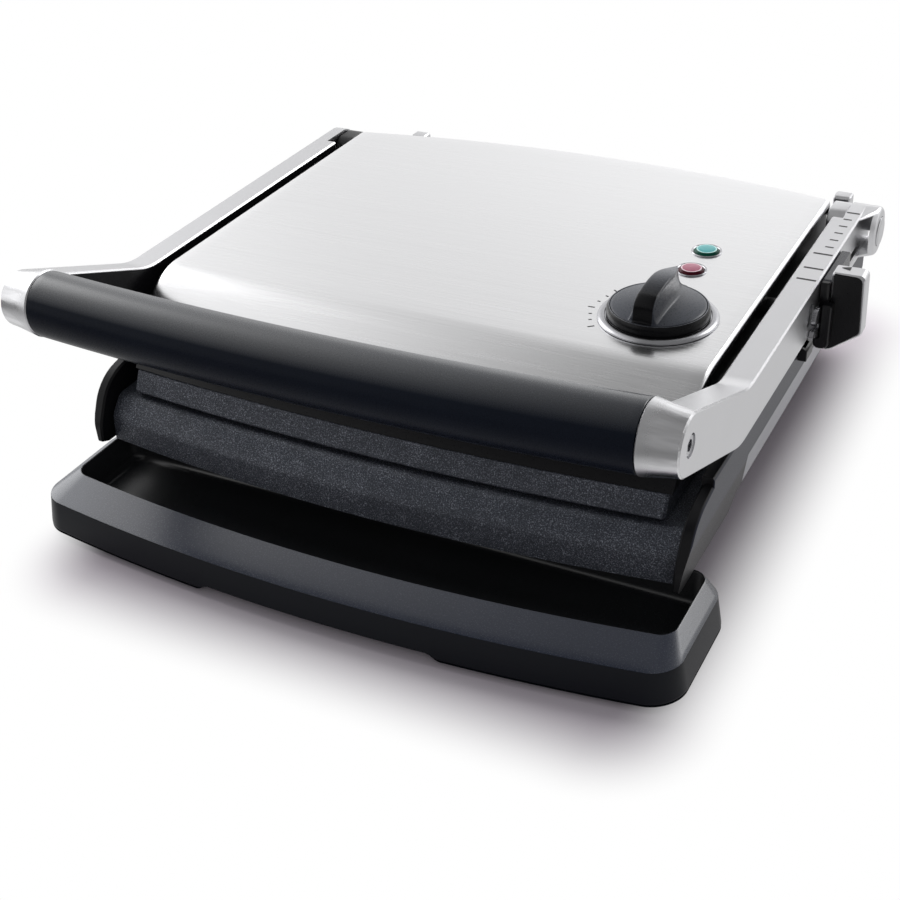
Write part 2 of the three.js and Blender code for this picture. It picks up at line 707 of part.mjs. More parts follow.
function temperatureKnob() {
  const low = LID_TOP + KNOB_LIFT;
  const profile = [
    [0, low],
    [KNOB_RADIUS - 0.6, low],
    [KNOB_RADIUS, low + 0.6],
    [KNOB_RADIUS, low + 3.4],
    [KNOB_RADIUS - 0.8, low + 4.6],
    [KNOB_RADIUS - 1.6, low + 5.1],
    [KNOB_RADIUS - 2, low + 5.6],
    [KNOB_RADIUS - 7, low + 6.6],
    [KNOB_RADIUS - 15, low + 7.7],
    [0, low + 8.3],
  ];
  const disc = turned("z", profile, [0, 0, 0], 36);
  // The grip is an arch from the front rim to a tip at the rear. Its flanks lean in, and its top narrows
  // to the tip.
  const reach = KNOB_RADIUS - 0.9;
  const crest = low + 19.6;
  const arch = [
    [-reach, low + 1.5],
    [-reach + 2.8, low + 6.5, 5],
    [-reach + 4, crest - 2.6, 7],
    [3, crest + 0.8, 60],
    [reach - 0.4, crest - 4.6, 1],
    [reach - 1, low + 9, 3],
    [reach, low + 1.5],
  ];
  const side = prism("x", arch, -10, 10);
  const leaf = (broad, tip, z) =>
    [
      [-broad, -reach - 1],
      [broad, -reach - 1],
      [broad, -4],
      [(2 * broad + tip) / 3, 12],
      [tip, reach + 1],
      [-tip, reach + 1],
      [-(2 * broad + tip) / 3, 12],
      [-broad, -4],
    ].map(([x, y]) => new THREE.Vector3(x, y, z));
  const flanks = loft([
    leaf(9, 6, low + 1),
    leaf(7.4, 4.6, low + 9),
    leaf(5.8, 2, low + 14),
    leaf(5.2, 1.2, crest + 1),
  ]);
  const bar = side.intersect(flanks);
  const bore = rod("z", SHAFT_RADIUS + SEAT_GAP, low - 1, low + KNOB_BORE_DEPTH, [0, 0]);
  const geometry = geometryOf(cut(join(disc, bar), bore));
  geometry.rotateZ(THREE.MathUtils.degToRad(KNOB_TURN)).translate(KNOB_X, KNOB_Y, 0);
  return solidOf(geometry);
}

function knobShaft() {
  const top = LID_TOP + KNOB_LIFT + KNOB_BORE_DEPTH - SEAT_GAP;
  return rod("z", SHAFT_RADIUS, LID_TOP - LID_SHEET - 11, top, [KNOB_X, KNOB_Y]);
}

// ---------------------------------------------------------------------------------------------------------
// Lower plate and base
// ---------------------------------------------------------------------------------------------------------

function lowerPlate() {
  const skin = LOWER_PLATE_TOP - PLATE_SKIN - 1;
  const sheet = 4;
  const profile = [
    [LOWER_PLATE_REAR, skin],
    [LOWER_PLATE_REAR, LOWER_PLATE_TOP, 2],
    [APRON_SHOULDER - 1, LOWER_PLATE_TOP, 7],
    [APRON_FRONT + 1, LOWER_PLATE_TOP - 9, 8],
    [APRON_FRONT, APRON_BOTTOM],
    [APRON_FRONT + sheet, APRON_BOTTOM],
    [APRON_FRONT + sheet + 1, LOWER_PLATE_TOP - 11, 5],
    [APRON_SHOULDER + 3, skin, 4],
  ];
  const geometry = prismGeometry("x", outline(profile), -LOWER_PLATE_HALF_WIDTH, LOWER_PLATE_HALF_WIDTH, {
    ease: 0.8,
    steps: BOW_STEPS,
  });
  const slab = solidOf(bowed(geometry, LOWER_PLATE_HALF_WIDTH, apronBow));
  const notch = block(
    [TOWER_INNER - SEAT_GAP, HINGE_Y - TOWER_REACH - SEAT_GAP, 0],
    [LOWER_PLATE_HALF_WIDTH + 1, LOWER_PLATE_REAR + 1, LOWER_PLATE_TOP + 1],
  );
  const top = LOWER_PLATE_TOP;
  const channels = grooves(top, top - GROOVE_DEPTH, APRON_SHOULDER + 8, LOWER_PLATE_REAR - 12);
  return cut(slab, notch, mirrored(notch), ...channels);
}

/** The cross-section of the base from the side wall's top down to the underside, both sides. */
function baseSection() {
  const right = [
    [UNDERCUT_HALF_WIDTH, BASE_BOTTOM, 3],
    [BASE_HALF_WIDTH - STRIP_INSET, STRIP_BOTTOM, 4],
    [BASE_HALF_WIDTH, STRIP_TOP, 6],
    [BASE_HALF_WIDTH, BASE_WALL_TOP, 1.5],
  ];
  const left = right.toReversed().map(([x, z, radius]) => [-x, z, radius]);
  return [...right, ...left];
}

/** The outline of a cheek from the side, forward of where it joins the base's side. */
function cheekOutline() {
  return [
    [CHEEK_JOIN, BASE_WALL_TOP],
    [-214, BASE_WALL_TOP, 60],
    [-262, 68, 26],
    [CHEEK_TIP + 1, 46, 12],
    [CHEEK_TIP, 36, 1.5],
    [CHEEK_TIP + 6, 33.5, 4],
    [-200, 33, 4],
    [-190, STRIP_BOTTOM + 4, 4],
    [CHEEK_JOIN, STRIP_BOTTOM + 4],
  ];
}

/** The cross-section of the space that a cheek lies in: its face leans in below the strip's upper edge. */
function cheekSection() {
  const lean = STRIP_INSET / (STRIP_TOP - STRIP_BOTTOM);
  const low = 30;
  return [
    [BASE_HALF_WIDTH - (STRIP_TOP - low) * lean, low],
    [BASE_HALF_WIDTH, STRIP_TOP, 6],
    [BASE_HALF_WIDTH, BASE_WALL_TOP + 5],
    [0, BASE_WALL_TOP + 5],
    [0, low],
  ];
}

function baseHousing() {
  const inner = BASE_HALF_WIDTH - BASE_WALL;
  const body = prism("y", baseSection(), BASE_FRONT_WALL, BASE_REAR);
  const plan = prism(
    "z",
    [
      [-BASE_HALF_WIDTH - 1, BASE_FRONT_WALL - 1],
      [BASE_HALF_WIDTH + 1, BASE_FRONT_WALL - 1],
      [BASE_HALF_WIDTH + 1, BASE_REAR, BASE_CORNER_RADIUS],
      [-BASE_HALF_WIDTH - 1, BASE_REAR, BASE_CORNER_RADIUS],
    ],
    0,
    100,
  );
  const leaning = prism("y", cheekSection(), CHEEK_TIP - 5, CHEEK_JOIN + 5);
  const cheek = prism("x", cheekOutline(), inner, BASE_HALF_WIDTH, { ease: 1 }).intersect(leaning);
  const shell = join(body.intersect(plan), cheek, mirrored(cheek));
  const wellTop = BASE_WALL_TOP + 5;
  const well = block([-inner, BASE_FRONT_WALL - 60, LOWER_SEAT], [inner, LOWER_PLATE_REAR + 1, wellTop]);
  const overDeck = block([-inner, LOWER_PLATE_REAR - 5, BASE_DECK], [inner, BASE_REAR + 5, wellTop]);
  const upperTub = block(
    [-inner + 4, BASE_FRONT_WALL + 6, TUB_STEP],
    [inner - 4, LOWER_PLATE_REAR + 1, wellTop],
  );
  const lowerTub = block(
    [-UNDERCUT_HALF_WIDTH + 3, BASE_FRONT_WALL + 6, BASE_BOTTOM + BASE_FLOOR],
    [UNDERCUT_HALF_WIDTH - 3, BASE_REAR - BASE_REAR_WALL, TUB_STEP + 1],
  );
  const underDeck = block(
    [-UNDERCUT_HALF_WIDTH + 3, LOWER_PLATE_REAR - 1, TUB_STEP],
    [UNDERCUT_HALF_WIDTH - 3, BASE_REAR - BASE_REAR_WALL, BASE_DECK - 3],
  );
  const clearApron = block([-inner, TRAY_FRONT - 90, 0], [inner, BASE_FRONT_WALL, LOWER_SEAT]);
  const strips = [1, -1].map((side) => {
    const seat = stripProfile(SEAT_GAP);
    const recess = prism("y", seat, STRIP_FRONT - SEAT_GAP, STRIP_REAR + SEAT_GAP);
    return side === 1 ? recess : mirrored(recess);
  });
  const gland = rod("y", GLAND_RADIUS + SEAT_GAP, BASE_REAR - 10, BASE_REAR + 10, [GLAND_X, GLAND_Z]);
  return cut(shell, well, overDeck, upperTub, lowerTub, underDeck, clearApron, ...strips, gland);
}

/** The section of the inlaid strip on the right side, or of its recess with a gap around it. */
function stripProfile(gap) {
  const outer = gap > 0 ? 3 : 0;
  const [top, low] = [STRIP_TOP - 0.6 + gap, STRIP_BOTTOM + 1 - gap];
  const lean = STRIP_INSET / (STRIP_TOP - STRIP_BOTTOM);
  const face = (z) => BASE_HALF_WIDTH - (STRIP_TOP - z) * lean;
  return [
    [face(low) - STRIP_THICKNESS - gap, low],
    [face(low) + outer, low],
    [face(top) + outer, top],
    [face(top) - STRIP_THICKNESS - gap, top],
  ];
}

function sideStrip() {
  return prism("y", stripProfile(0), STRIP_FRONT, STRIP_REAR);
}

function bottomCover() {
  const top = BASE_BOTTOM - SEAT_GAP;
  const bottom = top - COVER_THICKNESS;
  const half = UNDERCUT_HALF_WIDTH - 1;
  const plate = prism(
    "z",
    [
      [-half, BASE_FRONT_WALL + 4, 8],
      [half, BASE_FRONT_WALL + 4, 8],
      [half, BASE_REAR - 3, 8],
      [-half, BASE_REAR - 3, 8],
    ],
    bottom,
    top,
  );
  const channel = TONGUE_HALF_WIDTH + RUN_GAP;
  const lip = 3;
  const railSection = [
    [channel, bottom + 0.5],
    [channel, TONGUE_LOW - RUN_GAP],
    [channel - lip, TONGUE_LOW - RUN_GAP],
    [channel - lip, TONGUE_LOW - RUN_GAP - 1.8],
    [channel + 2.5, TONGUE_LOW - RUN_GAP - 1.8],
    [channel + 2.5, bottom + 0.5],
  ];
  const rails = [TONGUE_X, -TONGUE_X].flatMap((middle) =>
    [1, -1].map((side) => {
      const section = railSection.map(([x, z]) => [middle + side * x, z]);
      return prism("y", section, BASE_FRONT_WALL + 6, BASE_FRONT_WALL + TONGUE_LENGTH + 30);
    }),
  );
  const studs = FOOT_Y.flatMap((y) => [FOOT_X, -FOOT_X].map((x) => rod("z", 3 + SEAT_GAP, 0, 30, [x, y])));
  return cut(join(plate, ...rails), ...studs);
}

function foot(x, y) {
  const top = BASE_BOTTOM - SEAT_GAP - COVER_THICKNESS - SEAT_GAP;
  const profile = [
    [0, 0],
    [FOOT_RADIUS - 1.5, 0],
    [FOOT_RADIUS, 1.5],
    [FOOT_RADIUS - 1.5, top],
    [3, top],
    [3, top + COVER_THICKNESS],
    [0, top + COVER_THICKNESS],
  ];
  return turned("z", profile, [x, y, 0], 20);
}

/** A tower that carries the hinge pin, standing on the deck and on the top of the side wall. */
function hingeTower() {
  const [front, rear, top] = [HINGE_Y - TOWER_REACH, HINGE_Y + TOWER_REACH, HINGE_Z + TOWER_REACH];
  const side = [
    [front, BASE_DECK + SEAT_GAP],
    [rear, BASE_DECK + SEAT_GAP],
    [rear, top, 9],
    [front, top, 7],
  ];
  const column = prism("x", side, TOWER_INNER, TOWER_OUTER, { ease: 0.6 });
  const wall = block(
    [BASE_HALF_WIDTH - BASE_WALL - SEAT_GAP, front - 5, 0],
    [BASE_HALF_WIDTH + 5, rear + 5, BASE_WALL_TOP + SEAT_GAP],
  );
  const bore = rod("x", HINGE_PIN_RADIUS + SEAT_GAP, TOWER_INNER - 2, TOWER_OUTER + 2, [HINGE_Y, HINGE_Z]);
  const head = rod("x", PIN_HEAD_RADIUS + SEAT_GAP, TOWER_INNER - 2, TOWER_INNER + 2, [HINGE_Y, HINGE_Z]);
  return cut(column, wall, bore, head);
}

function hingePin() {
  const end = ARM_OUTER - 1;
  const profile = [
    [0, TOWER_INNER + 0.1],
    [PIN_HEAD_RADIUS, TOWER_INNER + 0.1],
    [PIN_HEAD_RADIUS, TOWER_INNER + 1.7],
    [HINGE_PIN_RADIUS, TOWER_INNER + 1.7],
    [HINGE_PIN_RADIUS, end - 0.6],
    [HINGE_PIN_RADIUS - 0.6, end],
    [0, end],
  ];
  return turned("x", profile, [0, HINGE_Y, HINGE_Z]);
}

function rearCover() {
  const corners = [
    [27, BASE_DECK + SEAT_GAP],
    [BASE_REAR - 0.5, BASE_DECK + SEAT_GAP],
    [BASE_REAR - 0.5, 82, 7],
    [27, 82, 9],
  ];
  const half = LID_HALF_WIDTH - 22;
  const outer = prism("x", corners, -half, half, { ease: 2 });
  const hollow = [
    [29.5, BASE_DECK - 5],
    [BASE_REAR - 3, BASE_DECK - 5],
    [BASE_REAR - 3, 79.5, 5],
    [29.5, 79.5, 7],
  ];
  return cut(outer, prism("x", hollow, -half + 2.5, half - 2.5));
}

function rearStand() {
  const face = BASE_REAR + SEAT_GAP;
  const corners = [
    [face, 20, 2],
    [STAND_REAR - 6, 20, 6],
    [STAND_REAR, 34, 10],
    [STAND_REAR, STAND_TOP, 2],
    [STAND_REAR - 10, STAND_TOP, 2],
    [STAND_REAR - 10, 58, 8],
    [face, 50, 2],
  ];
  const [inner, outer] = [STAND_X - STAND_HALF_WIDTH, STAND_X + STAND_HALF_WIDTH];
  return prism("x", corners, inner, outer, { ease: 0.8 });
}

function cordGland() {
  const [inside, outside] = [BASE_REAR - BASE_REAR_WALL - SEAT_GAP, BASE_REAR + SEAT_GAP];
  const profile = [
    [3.6, inside - 3],
    [GLAND_RADIUS + 2, inside - 3],
    [GLAND_RADIUS + 2, inside],
    [GLAND_RADIUS, inside],
    [GLAND_RADIUS, outside],
    [GLAND_RADIUS + 2.5, outside],
    [GLAND_RADIUS + 2, outside + 3],
    [3.6, outside + 3],
    [3.6, inside - 3],
  ];
  return turned("y", profile, [GLAND_X, 0, GLAND_Z], 20);
}

function terminalBlock() {
  const low = BASE_BOTTOM + BASE_FLOOR + SEAT_GAP;
  const body = block([70, 8, low], [104, 24, low + 16]);
  const holes = [76, 87, 98].map((x) => rod("z", 2.2, low + 6, low + 20, [x, 16], 16));
  return cut(body, ...holes);
}

function thermalFuse() {
  const z = LOWER_PLATE_TOP - PLATE_SKIN - 1 - SEAT_GAP - 3;
  return rod("y", 3, -92, -62, [0, z], 20);
}

function latchKeeper() {
  const face = BASE_HALF_WIDTH + SEAT_GAP;
  const [low, high] = [BASE_WALL_TOP - 8, BASE_WALL_TOP - 0.5];
  const section = [
    [face, low],
    [face + 4.7, low, 0.6],
    [face + 4.7, high - 1.5, 1.5],
    [face + 2, high, 1],
    [face, high],
  ];
  const [front, rear] = [PIVOT_Y + 8.1, PIVOT_Y + 20];
  const body = prism("y", section, front, rear, { ease: 0.4 });
  return cut(body, block([face + 1.5, front + 2, low + 2.5], [face + 3.2, rear - 2, high + 2]));
}

// ---------------------------------------------------------------------------------------------------------
// Lifting arms and handle
// ---------------------------------------------------------------------------------------------------------

/** The corners [y, z, radius] of an arm from the side: a level run from the hinge, then a rising one. */
function armOutline() {
  const hub = ARM_TOP - HINGE_Z;
  const rise = THREE.MathUtils.degToRad(ARM_RISE);
  const ahead = new THREE.Vector2(-Math.cos(rise), Math.sin(rise)).multiplyScalar(ARM_END_RADIUS);
  const above = new THREE.Vector2(Math.sin(rise), Math.cos(rise)).multiplyScalar(ARM_END_RADIUS);
  const tip = new THREE.Vector2(HANDLE_Y, HANDLE_Z).add(ahead);
  const [high, low] = [tip.clone().add(above), tip.clone().sub(above)];
  const meets = ({ x, y }, level) => x + (y - level) / Math.tan(rise);
  return [
    [HINGE_Y + hub, HINGE_Z - hub, hub - 0.4],
    [HINGE_Y + hub, ARM_TOP, hub - 0.4],
    [meets(high, ARM_TOP), ARM_TOP, ARM_KINK_RADIUS],
    [high.x, high.y, ARM_END_RADIUS],
    [low.x, low.y, ARM_END_RADIUS],
    [meets(low, ARM_KINK_BOTTOM), ARM_KINK_BOTTOM, ARM_KINK_RADIUS],
  ];
}

/** The space inside an arm, open on its inner side, between the hinge tower and the handle's end. */
function armSpace(inward, from, to) {
  const run = block(
    [from - 1, HANDLE_Y + HANDLE_CAP_RADIUS + inward + 2, HINGE_Z - 39],
    [to + 1, HINGE_Y - ARM_RELIEF_REACH - inward, HINGE_Z + 51],
  );
  return prism("x", inset(armOutline(), inward), from, to).intersect(run);
}

/** The round end of an arm that holds the handle, narrowing from the grip to the arm's outer face. */
function handleCap() {
  const [inner, full] = [HANDLE_CAP_INNER, HANDLE_CAP_RADIUS];
  const profile = [
    [0, inner],
    [full - 0.6, inner],
    [full, inner + 0.6],
    [full - 0.2, inner + 7],
    [full - 1, inner + 12.5],
    [ARM_END_RADIUS, ARM_OUTER - ARM_EASE],
    [ARM_END_RADIUS - ARM_EASE, ARM_OUTER],
    [0, ARM_OUTER],
  ];
  return turned("x", profile, [0, HANDLE_Y, HANDLE_Z], 36);
}

/** The block that steps out round the hinge on the right arm, flared from the arm's side. */
function hingeBoss() {
  const radius = ARM_TOP - HINGE_Z;
  const shoulder = arc(radius - BOSS_SHOULDER, BOSS_OUTER - BOSS_SHOULDER, BOSS_SHOULDER, 0, 90, 4);
  const profile = [[0, ARM_OUTER - 3], [radius, ARM_OUTER - 3], ...shoulder, [0, BOSS_OUTER]];
  const hub = turned("x", profile, [0, HINGE_Y, HINGE_Z], 36);
  const foot = block([ARM_OUTER - 3, BOSS_FRONT, HINGE_Z - radius + 4], [ARM_OUTER - 1, BOSS_FRONT + 2, ARM_TOP - 1]);
  return wasm.Manifold.hull([hub, foot]);
}

/** An arm for the right side, plain or with the height slider's slot, marks and hinge boss. */
function arm(hasSlider) {
  const beam = join(prism("x", armOutline(), ARM_INNER, ARM_OUTER, { ease: ARM_EASE }), handleCap());
  const seat = armSpace(ARM_LIP, ARM_INNER - 1, ARM_INNER + ARM_COVER_THICKNESS + SEAT_GAP);
  const channel = armSpace(ARM_WALL, ARM_INNER - 1, ARM_OUTER - ARM_WALL);
  const relief = block([ARM_INNER - 1, HINGE_Y - ARM_RELIEF_REACH, 60], [ARM_RELIEF, 60, 130]);
  const pivotBoss = rod("x", PIVOT_HEAD_RADIUS + 1.2, ARM_INNER + 2.6, ARM_OUTER - 1, [PIVOT_Y, PIVOT_Z]);
  const shell = join(cut(beam, seat, channel, relief), pivotBoss);
  const [within, beyond] = [HANDLE_CAP_INNER - 2, BOSS_OUTER + 2];
  const drilled = cut(
    hasSlider ? join(shell, hingeBoss()) : shell,
    rod("x", HINGE_PIN_RADIUS + SEAT_GAP, within, ARM_OUTER - 1, [HINGE_Y, HINGE_Z]),
    rod("x", PIVOT_RADIUS + SEAT_GAP, within, beyond, [PIVOT_Y, PIVOT_Z]),
    rod("x", PIVOT_HEAD_RADIUS + SEAT_GAP, ARM_OUTER - 3.5, beyond, [PIVOT_Y, PIVOT_Z]),
    rod("x", HANDLE_BOLT_RADIUS + SEAT_GAP, within, beyond, [HANDLE_Y, HANDLE_Z]),
    rod("x", HANDLE_BOLT_HEAD + SEAT_GAP, ARM_OUTER - 4, beyond, [HANDLE_Y, HANDLE_Z]),
  );
  if (!hasSlider) return drilled;
  const stemRear = MARK_OPEN + SLIDER_TRAVEL + SLIDER_STEM_BEHIND + SLIDER_STEM_HALF;
  const stemFront = MARK_LOCK + SLIDER_STEM_BEHIND - SLIDER_STEM_HALF;
  const slot = block([ARM_INNER + 3, stemFront - 1, SLOT_LOW], [ARM_OUTER + 0.1, stemRear + 1, SLOT_HIGH]);
  const shoeRun = block(
    [ARM_INNER - 1, HINGE_Y - 28, SLOT_LOW - 2.7],
    [ARM_OUTER - ARM_WALL, stemRear + 3.7, SLOT_HIGH + 3.1],
  );
  const padRun = prism("x", padOutline(0.5, SLIDER_TRAVEL + 1), ARM_OUTER - 0.1, PAD_FACE + 0.4);
  const marks = armMarks().map(([y, from, to, width]) =>
    block([from, y - width / 2, ARM_TOP - 0.5], [to, y + width / 2, ARM_TOP + 1]),
  );
  const capSeat = rod("x", BOSS_CAP_RADIUS + SEAT_GAP, BOSS_OUTER - 1.5, beyond, [HINGE_Y, HINGE_Z]);
  return cut(drilled, slot, shoeRun, padRun, capSeat, ...marks);
}

/** The slider's pad from the side, grown by a clearance and stretched rearwards by a travel. */
function padOutline(play, travel) {
  const front = MARK_OPEN - SLIDER_LEAD + 1.8 - play;
  const rear = front + PAD_LENGTH + 2 * play + travel;
  return [
    [front, PAD_LOW - play, 1.5],
    [rear, PAD_LOW - play, 1.5],
    [rear, PAD_HIGH + play, PAD_REAR_RADIUS],
    [front, PAD_HIGH + play, 1.5],
  ];
}

/** Cut marks on the right arm: place along y, inner and outer end, and width of each. */
function armMarks() {
  const steps = 5;
  const pitch = (MARK_HIGH - MARK_LOW) / (steps + 1);
  const named = [MARK_LOCK, MARK_OPEN, MARK_LOW, MARK_HIGH].map((y) => [y, ARM_INNER + 3, ARM_OUTER - 1.4, 0.9]);
  const ticks = Array.from({ length: steps }, (_, i) => [
    MARK_LOW + pitch * (i + 1),
    ARM_INNER + 6.6,
    ARM_INNER + 11,
    0.7,
  ]);
  return [...named, ...ticks];
}

function armCover() {
  const sheet = armSpace(ARM_LIP + SEAT_GAP, ARM_INNER + 0.2, ARM_INNER + ARM_COVER_THICKNESS);
  return cut(sheet, rod("x", PIVOT_RADIUS + 0.5, ARM_INNER - 2, ARM_OUTER, [PIVOT_Y, PIVOT_Z]));
}

/** A round bar across the press whose middle stands forward of its ends. */
function handleBar(radius, halfLength, sides) {
  const stations = 12;
  const rings = Array.from({ length: stations + 1 }, (_, i) => {
    const x = -halfLength + (2 * halfLength * i) / stations;
    const y = HANDLE_Y - HANDLE_BOW * (1 - (x / HANDLE_CAP_INNER) ** 2);
    return arc(y, HANDLE_Z, radius, 0, 360, sides)
      .slice(0, -1)
      .map(([a, b]) => new THREE.Vector3(x, a, b));
  });
  return loft(rings);
}

function handleGrip() {
  const half = HANDLE_CAP_INNER - SEAT_GAP;
  const bar = handleBar(HANDLE_RADIUS, half, 24);
  return cut(bar, handleBar(HANDLE_RADIUS - HANDLE_WALL, half + 2, 12));
}

function handleCore() {
  const bar = handleBar(HANDLE_RADIUS - HANDLE_WALL - 0.9, HANDLE_CAP_INNER - SEAT_GAP, 12);
  const end = HANDLE_CAP_INNER - HANDLE_BOLT_REACH;
  const bores = [1, -1].map((side) => {
    const bore = rod("x", HANDLE_BOLT_RADIUS + SEAT_GAP, end - 3, HANDLE_CAP_INNER, [HANDLE_Y, HANDLE_Z]);
    return side === 1 ? bore : mirrored(bore);
  });
  return cut(bar, ...bores);
}

function handleBolt() {
  const headTop = ARM_OUTER - 0.5;
  const profile = [
    [0, HANDLE_CAP_INNER - HANDLE_BOLT_REACH],
    [HANDLE_BOLT_RADIUS, HANDLE_CAP_INNER - HANDLE_BOLT_REACH],
    [HANDLE_BOLT_RADIUS, headTop - 3.2],
    [HANDLE_BOLT_HEAD, headTop - 3.2],
    [HANDLE_BOLT_HEAD, headTop - 0.6],
    [HANDLE_BOLT_HEAD - 0.6, headTop],
    [0, headTop],
  ];
  const socket = rod("x", 2.9, headTop - 2.4, headTop + 2, [HANDLE_Y, HANDLE_Z], 6);
  return cut(turned("x", profile, [0, HANDLE_Y, HANDLE_Z]), socket);
}

/** The disc that closes the end of the hinge boss. */
function hingeCap() {
  const seat = BOSS_OUTER - 1.5 + SEAT_GAP;
  const profile = [
    [0, seat],
    [BOSS_CAP_RADIUS, seat],
    [BOSS_CAP_RADIUS, BOSS_OUTER + 0.4],
    [BOSS_CAP_RADIUS - 1, BOSS_OUTER + 1],
    [0, BOSS_OUTER + 1],
  ];
  return turned("x", profile, [0, HINGE_Y, HINGE_Z]);
}

function pivotBolt() {
  const headTop = ARM_OUTER - 0.5;
  const profile = [
    [0, PIVOT_BOSS_OUTER - 8.1],
    [PIVOT_RADIUS, PIVOT_BOSS_OUTER - 8.1],
    [PIVOT_RADIUS, headTop - 2.7],
    [PIVOT_HEAD_RADIUS, headTop - 2.7],
    [PIVOT_HEAD_RADIUS, headTop - 0.7],
    [PIVOT_HEAD_RADIUS - 0.7, headTop],
    [0, headTop],
  ];
  const slot = block([headTop - 1.2, PIVOT_Y - 0.7, PIVOT_Z - 8], [headTop + 2, PIVOT_Y + 0.7, PIVOT_Z + 8]);
  return cut(turned("x", profile, [0, PIVOT_Y, PIVOT_Z], 20), slot);
}

function pivotSpacer() {
  const body = rod("x", 6, PIVOT_BOSS_OUTER + SEAT_GAP, ARM_INNER - 0.1, [PIVOT_Y, PIVOT_Z], 20);
  return cut(body, rod("x", PIVOT_RADIUS + SEAT_GAP, PIVOT_BOSS_OUTER - 2, ARM_OUTER, [PIVOT_Y, PIVOT_Z]));
}

// ---------------------------------------------------------------------------------------------------------
// Height slider
// ---------------------------------------------------------------------------------------------------------

function heightSlider() {
  const stem = MARK_OPEN + SLIDER_STEM_BEHIND;
  const pad = prism("x", padOutline(0, 0), PAD_FACE - PAD_THICKNESS, PAD_FACE, { ease: 0.4 });
  const neck = block(
    [ARM_OUTER - ARM_WALL - 0.4, stem - SLIDER_STEM_HALF, SLOT_LOW + RUN_GAP],
    [PAD_FACE - PAD_THICKNESS + 1, stem + SLIDER_STEM_HALF, SLOT_HIGH - RUN_GAP],
  );
  const shoe = block(
    [ARM_OUTER - ARM_WALL - 3.5, stem - SLIDER_STEM_HALF - 0.1, SLOT_LOW - 2],
    [ARM_OUTER - ARM_WALL - 0.3, stem + 6, SLOT_HIGH + 2.4],
  );
  return join(pad, neck, shoe);
}

/** The paddle from the front. */
function paddleOutline() {
  const inner = PAD_FACE + SEAT_GAP;
  return [
    [inner, PADDLE_TOP - 0.6, 1],
    [PADDLE_OUTER - 1.2, PADDLE_TOP - 0.4, 3],
    [PADDLE_OUTER, PADDLE_KNEE, 3],
    [inner + 2.5, PADDLE_BOTTOM + 0.6, 8],
    [inner, PADDLE_BOTTOM],
  ];
}

/** The insert in the paddle's front. */
function faceOutline() {
  const inner = PAD_FACE + 1.2;
  return [
    [inner, PADDLE_TOP - 1.4, 0.8],
    [PADDLE_OUTER - 2.8, PADDLE_TOP - 1.6, 3],
    [PADDLE_OUTER - 1.4, PADDLE_KNEE + 0.7, 3],
    [inner + 2, PADDLE_BOTTOM + 1.8, 8],
    [inner, PADDLE_BOTTOM + 1.2],
  ];
}

function sliderKnob() {
  const front = MARK_OPEN - SLIDER_LEAD;
  const body = prism("y", paddleOutline(), front, front + PADDLE_DEPTH, { ease: 0.6 });
  const plan = prism(
    "z",
    [
      [PAD_FACE - 5, front - 1],
      [PADDLE_OUTER + 1, front - 1],
      [PADDLE_OUTER, front + PADDLE_DEPTH, 4],
      [PAD_FACE - 5, front + PADDLE_DEPTH],
    ],
    60,
    130,
  );
  const seat = prism("y", inset(faceOutline(), -SEAT_GAP), front - 1, front + 1.2);
  return cut(body.intersect(plan), seat);
}

function sliderKnobFace() {
  const front = MARK_OPEN - SLIDER_LEAD;
  return prism("y", faceOutline(), front - 0.2, front + 0.9, { ease: 0.2 });
}

/** A column at the pad's front end, with a foot that reaches forward under the arm and carries the hook. */
function latchBracket() {
  const padFront = MARK_OPEN - SLIDER_LEAD + 1.8 - SEAT_GAP;
  const paddleFront = MARK_OPEN - SLIDER_LEAD - 0.2 - SEAT_GAP;
  const inner = ARM_OUTER + RUN_GAP;
  const hookFace = inner + 2.2 + SEAT_GAP;
  const plan = [
    [inner, paddleFront - 1.2, 0.5],
    [PAD_FACE, paddleFront - 1.2, 1.4],
    [PAD_FACE, padFront],
    [inner, padFront],
  ];
  const column = prism("z", plan, PADDLE_BOTTOM + 4.5, PAD_HIGH, { ease: 0.5 });
  const section = [
    [hookFace, BRACKET_TOP, 1],
    [PAD_FACE + 3, BRACKET_TOP, 1],
    [PAD_FACE + 3, PADDLE_BOTTOM + 4, 3],
    [ARM_OUTER, PADDLE_BOTTOM + 3, 3],
    [ARM_OUTER, HINGE_Z - 17, 1],
    [hookFace, HINGE_Z - 17, 1],
  ];
  const foot = prism("y", section, paddleFront - BRACKET_DEPTH, paddleFront, { ease: 0.6 });
  const hookRoom = block([inner - 1, paddleFront - 20, HINGE_Z - 16.6], [hookFace, paddleFront - 0.9, BRACKET_TOP]);
  return cut(join(column, foot), hookRoom);
}

/** A plate with an upper claw beside the pivot screw and a lower jaw. */
function latchHook() {
  const inner = ARM_OUTER + RUN_GAP;
  const root = MARK_OPEN - SLIDER_LEAD - 0.5 - 0.9 - SEAT_GAP;
  const top = HINGE_Z - 4;
  return prism(
    "x",
    [
      [root, top, 1],
      [root - 2, top, 1],
      [root - 5, top + 5.2, 1.5],
      [root - 10, top + 4.6, 2],
      [root - 14, top - 0.5, 2],
      [root - 10, top - 4.2, 1],
      [root - 5, top - 3.4, 1],
      [root - 5.5, top - 7, 1],
      [root - 14, top - 4.8, 1],
      [root - 16, top - 7.8, 1],
      [root - 6, top - 11.6, 2],
      [root, top - 11.6],
    ],
    inner,
    inner + 2.2,
  );
}

// ---------------------------------------------------------------------------------------------------------
// Drip tray
// ---------------------------------------------------------------------------------------------------------

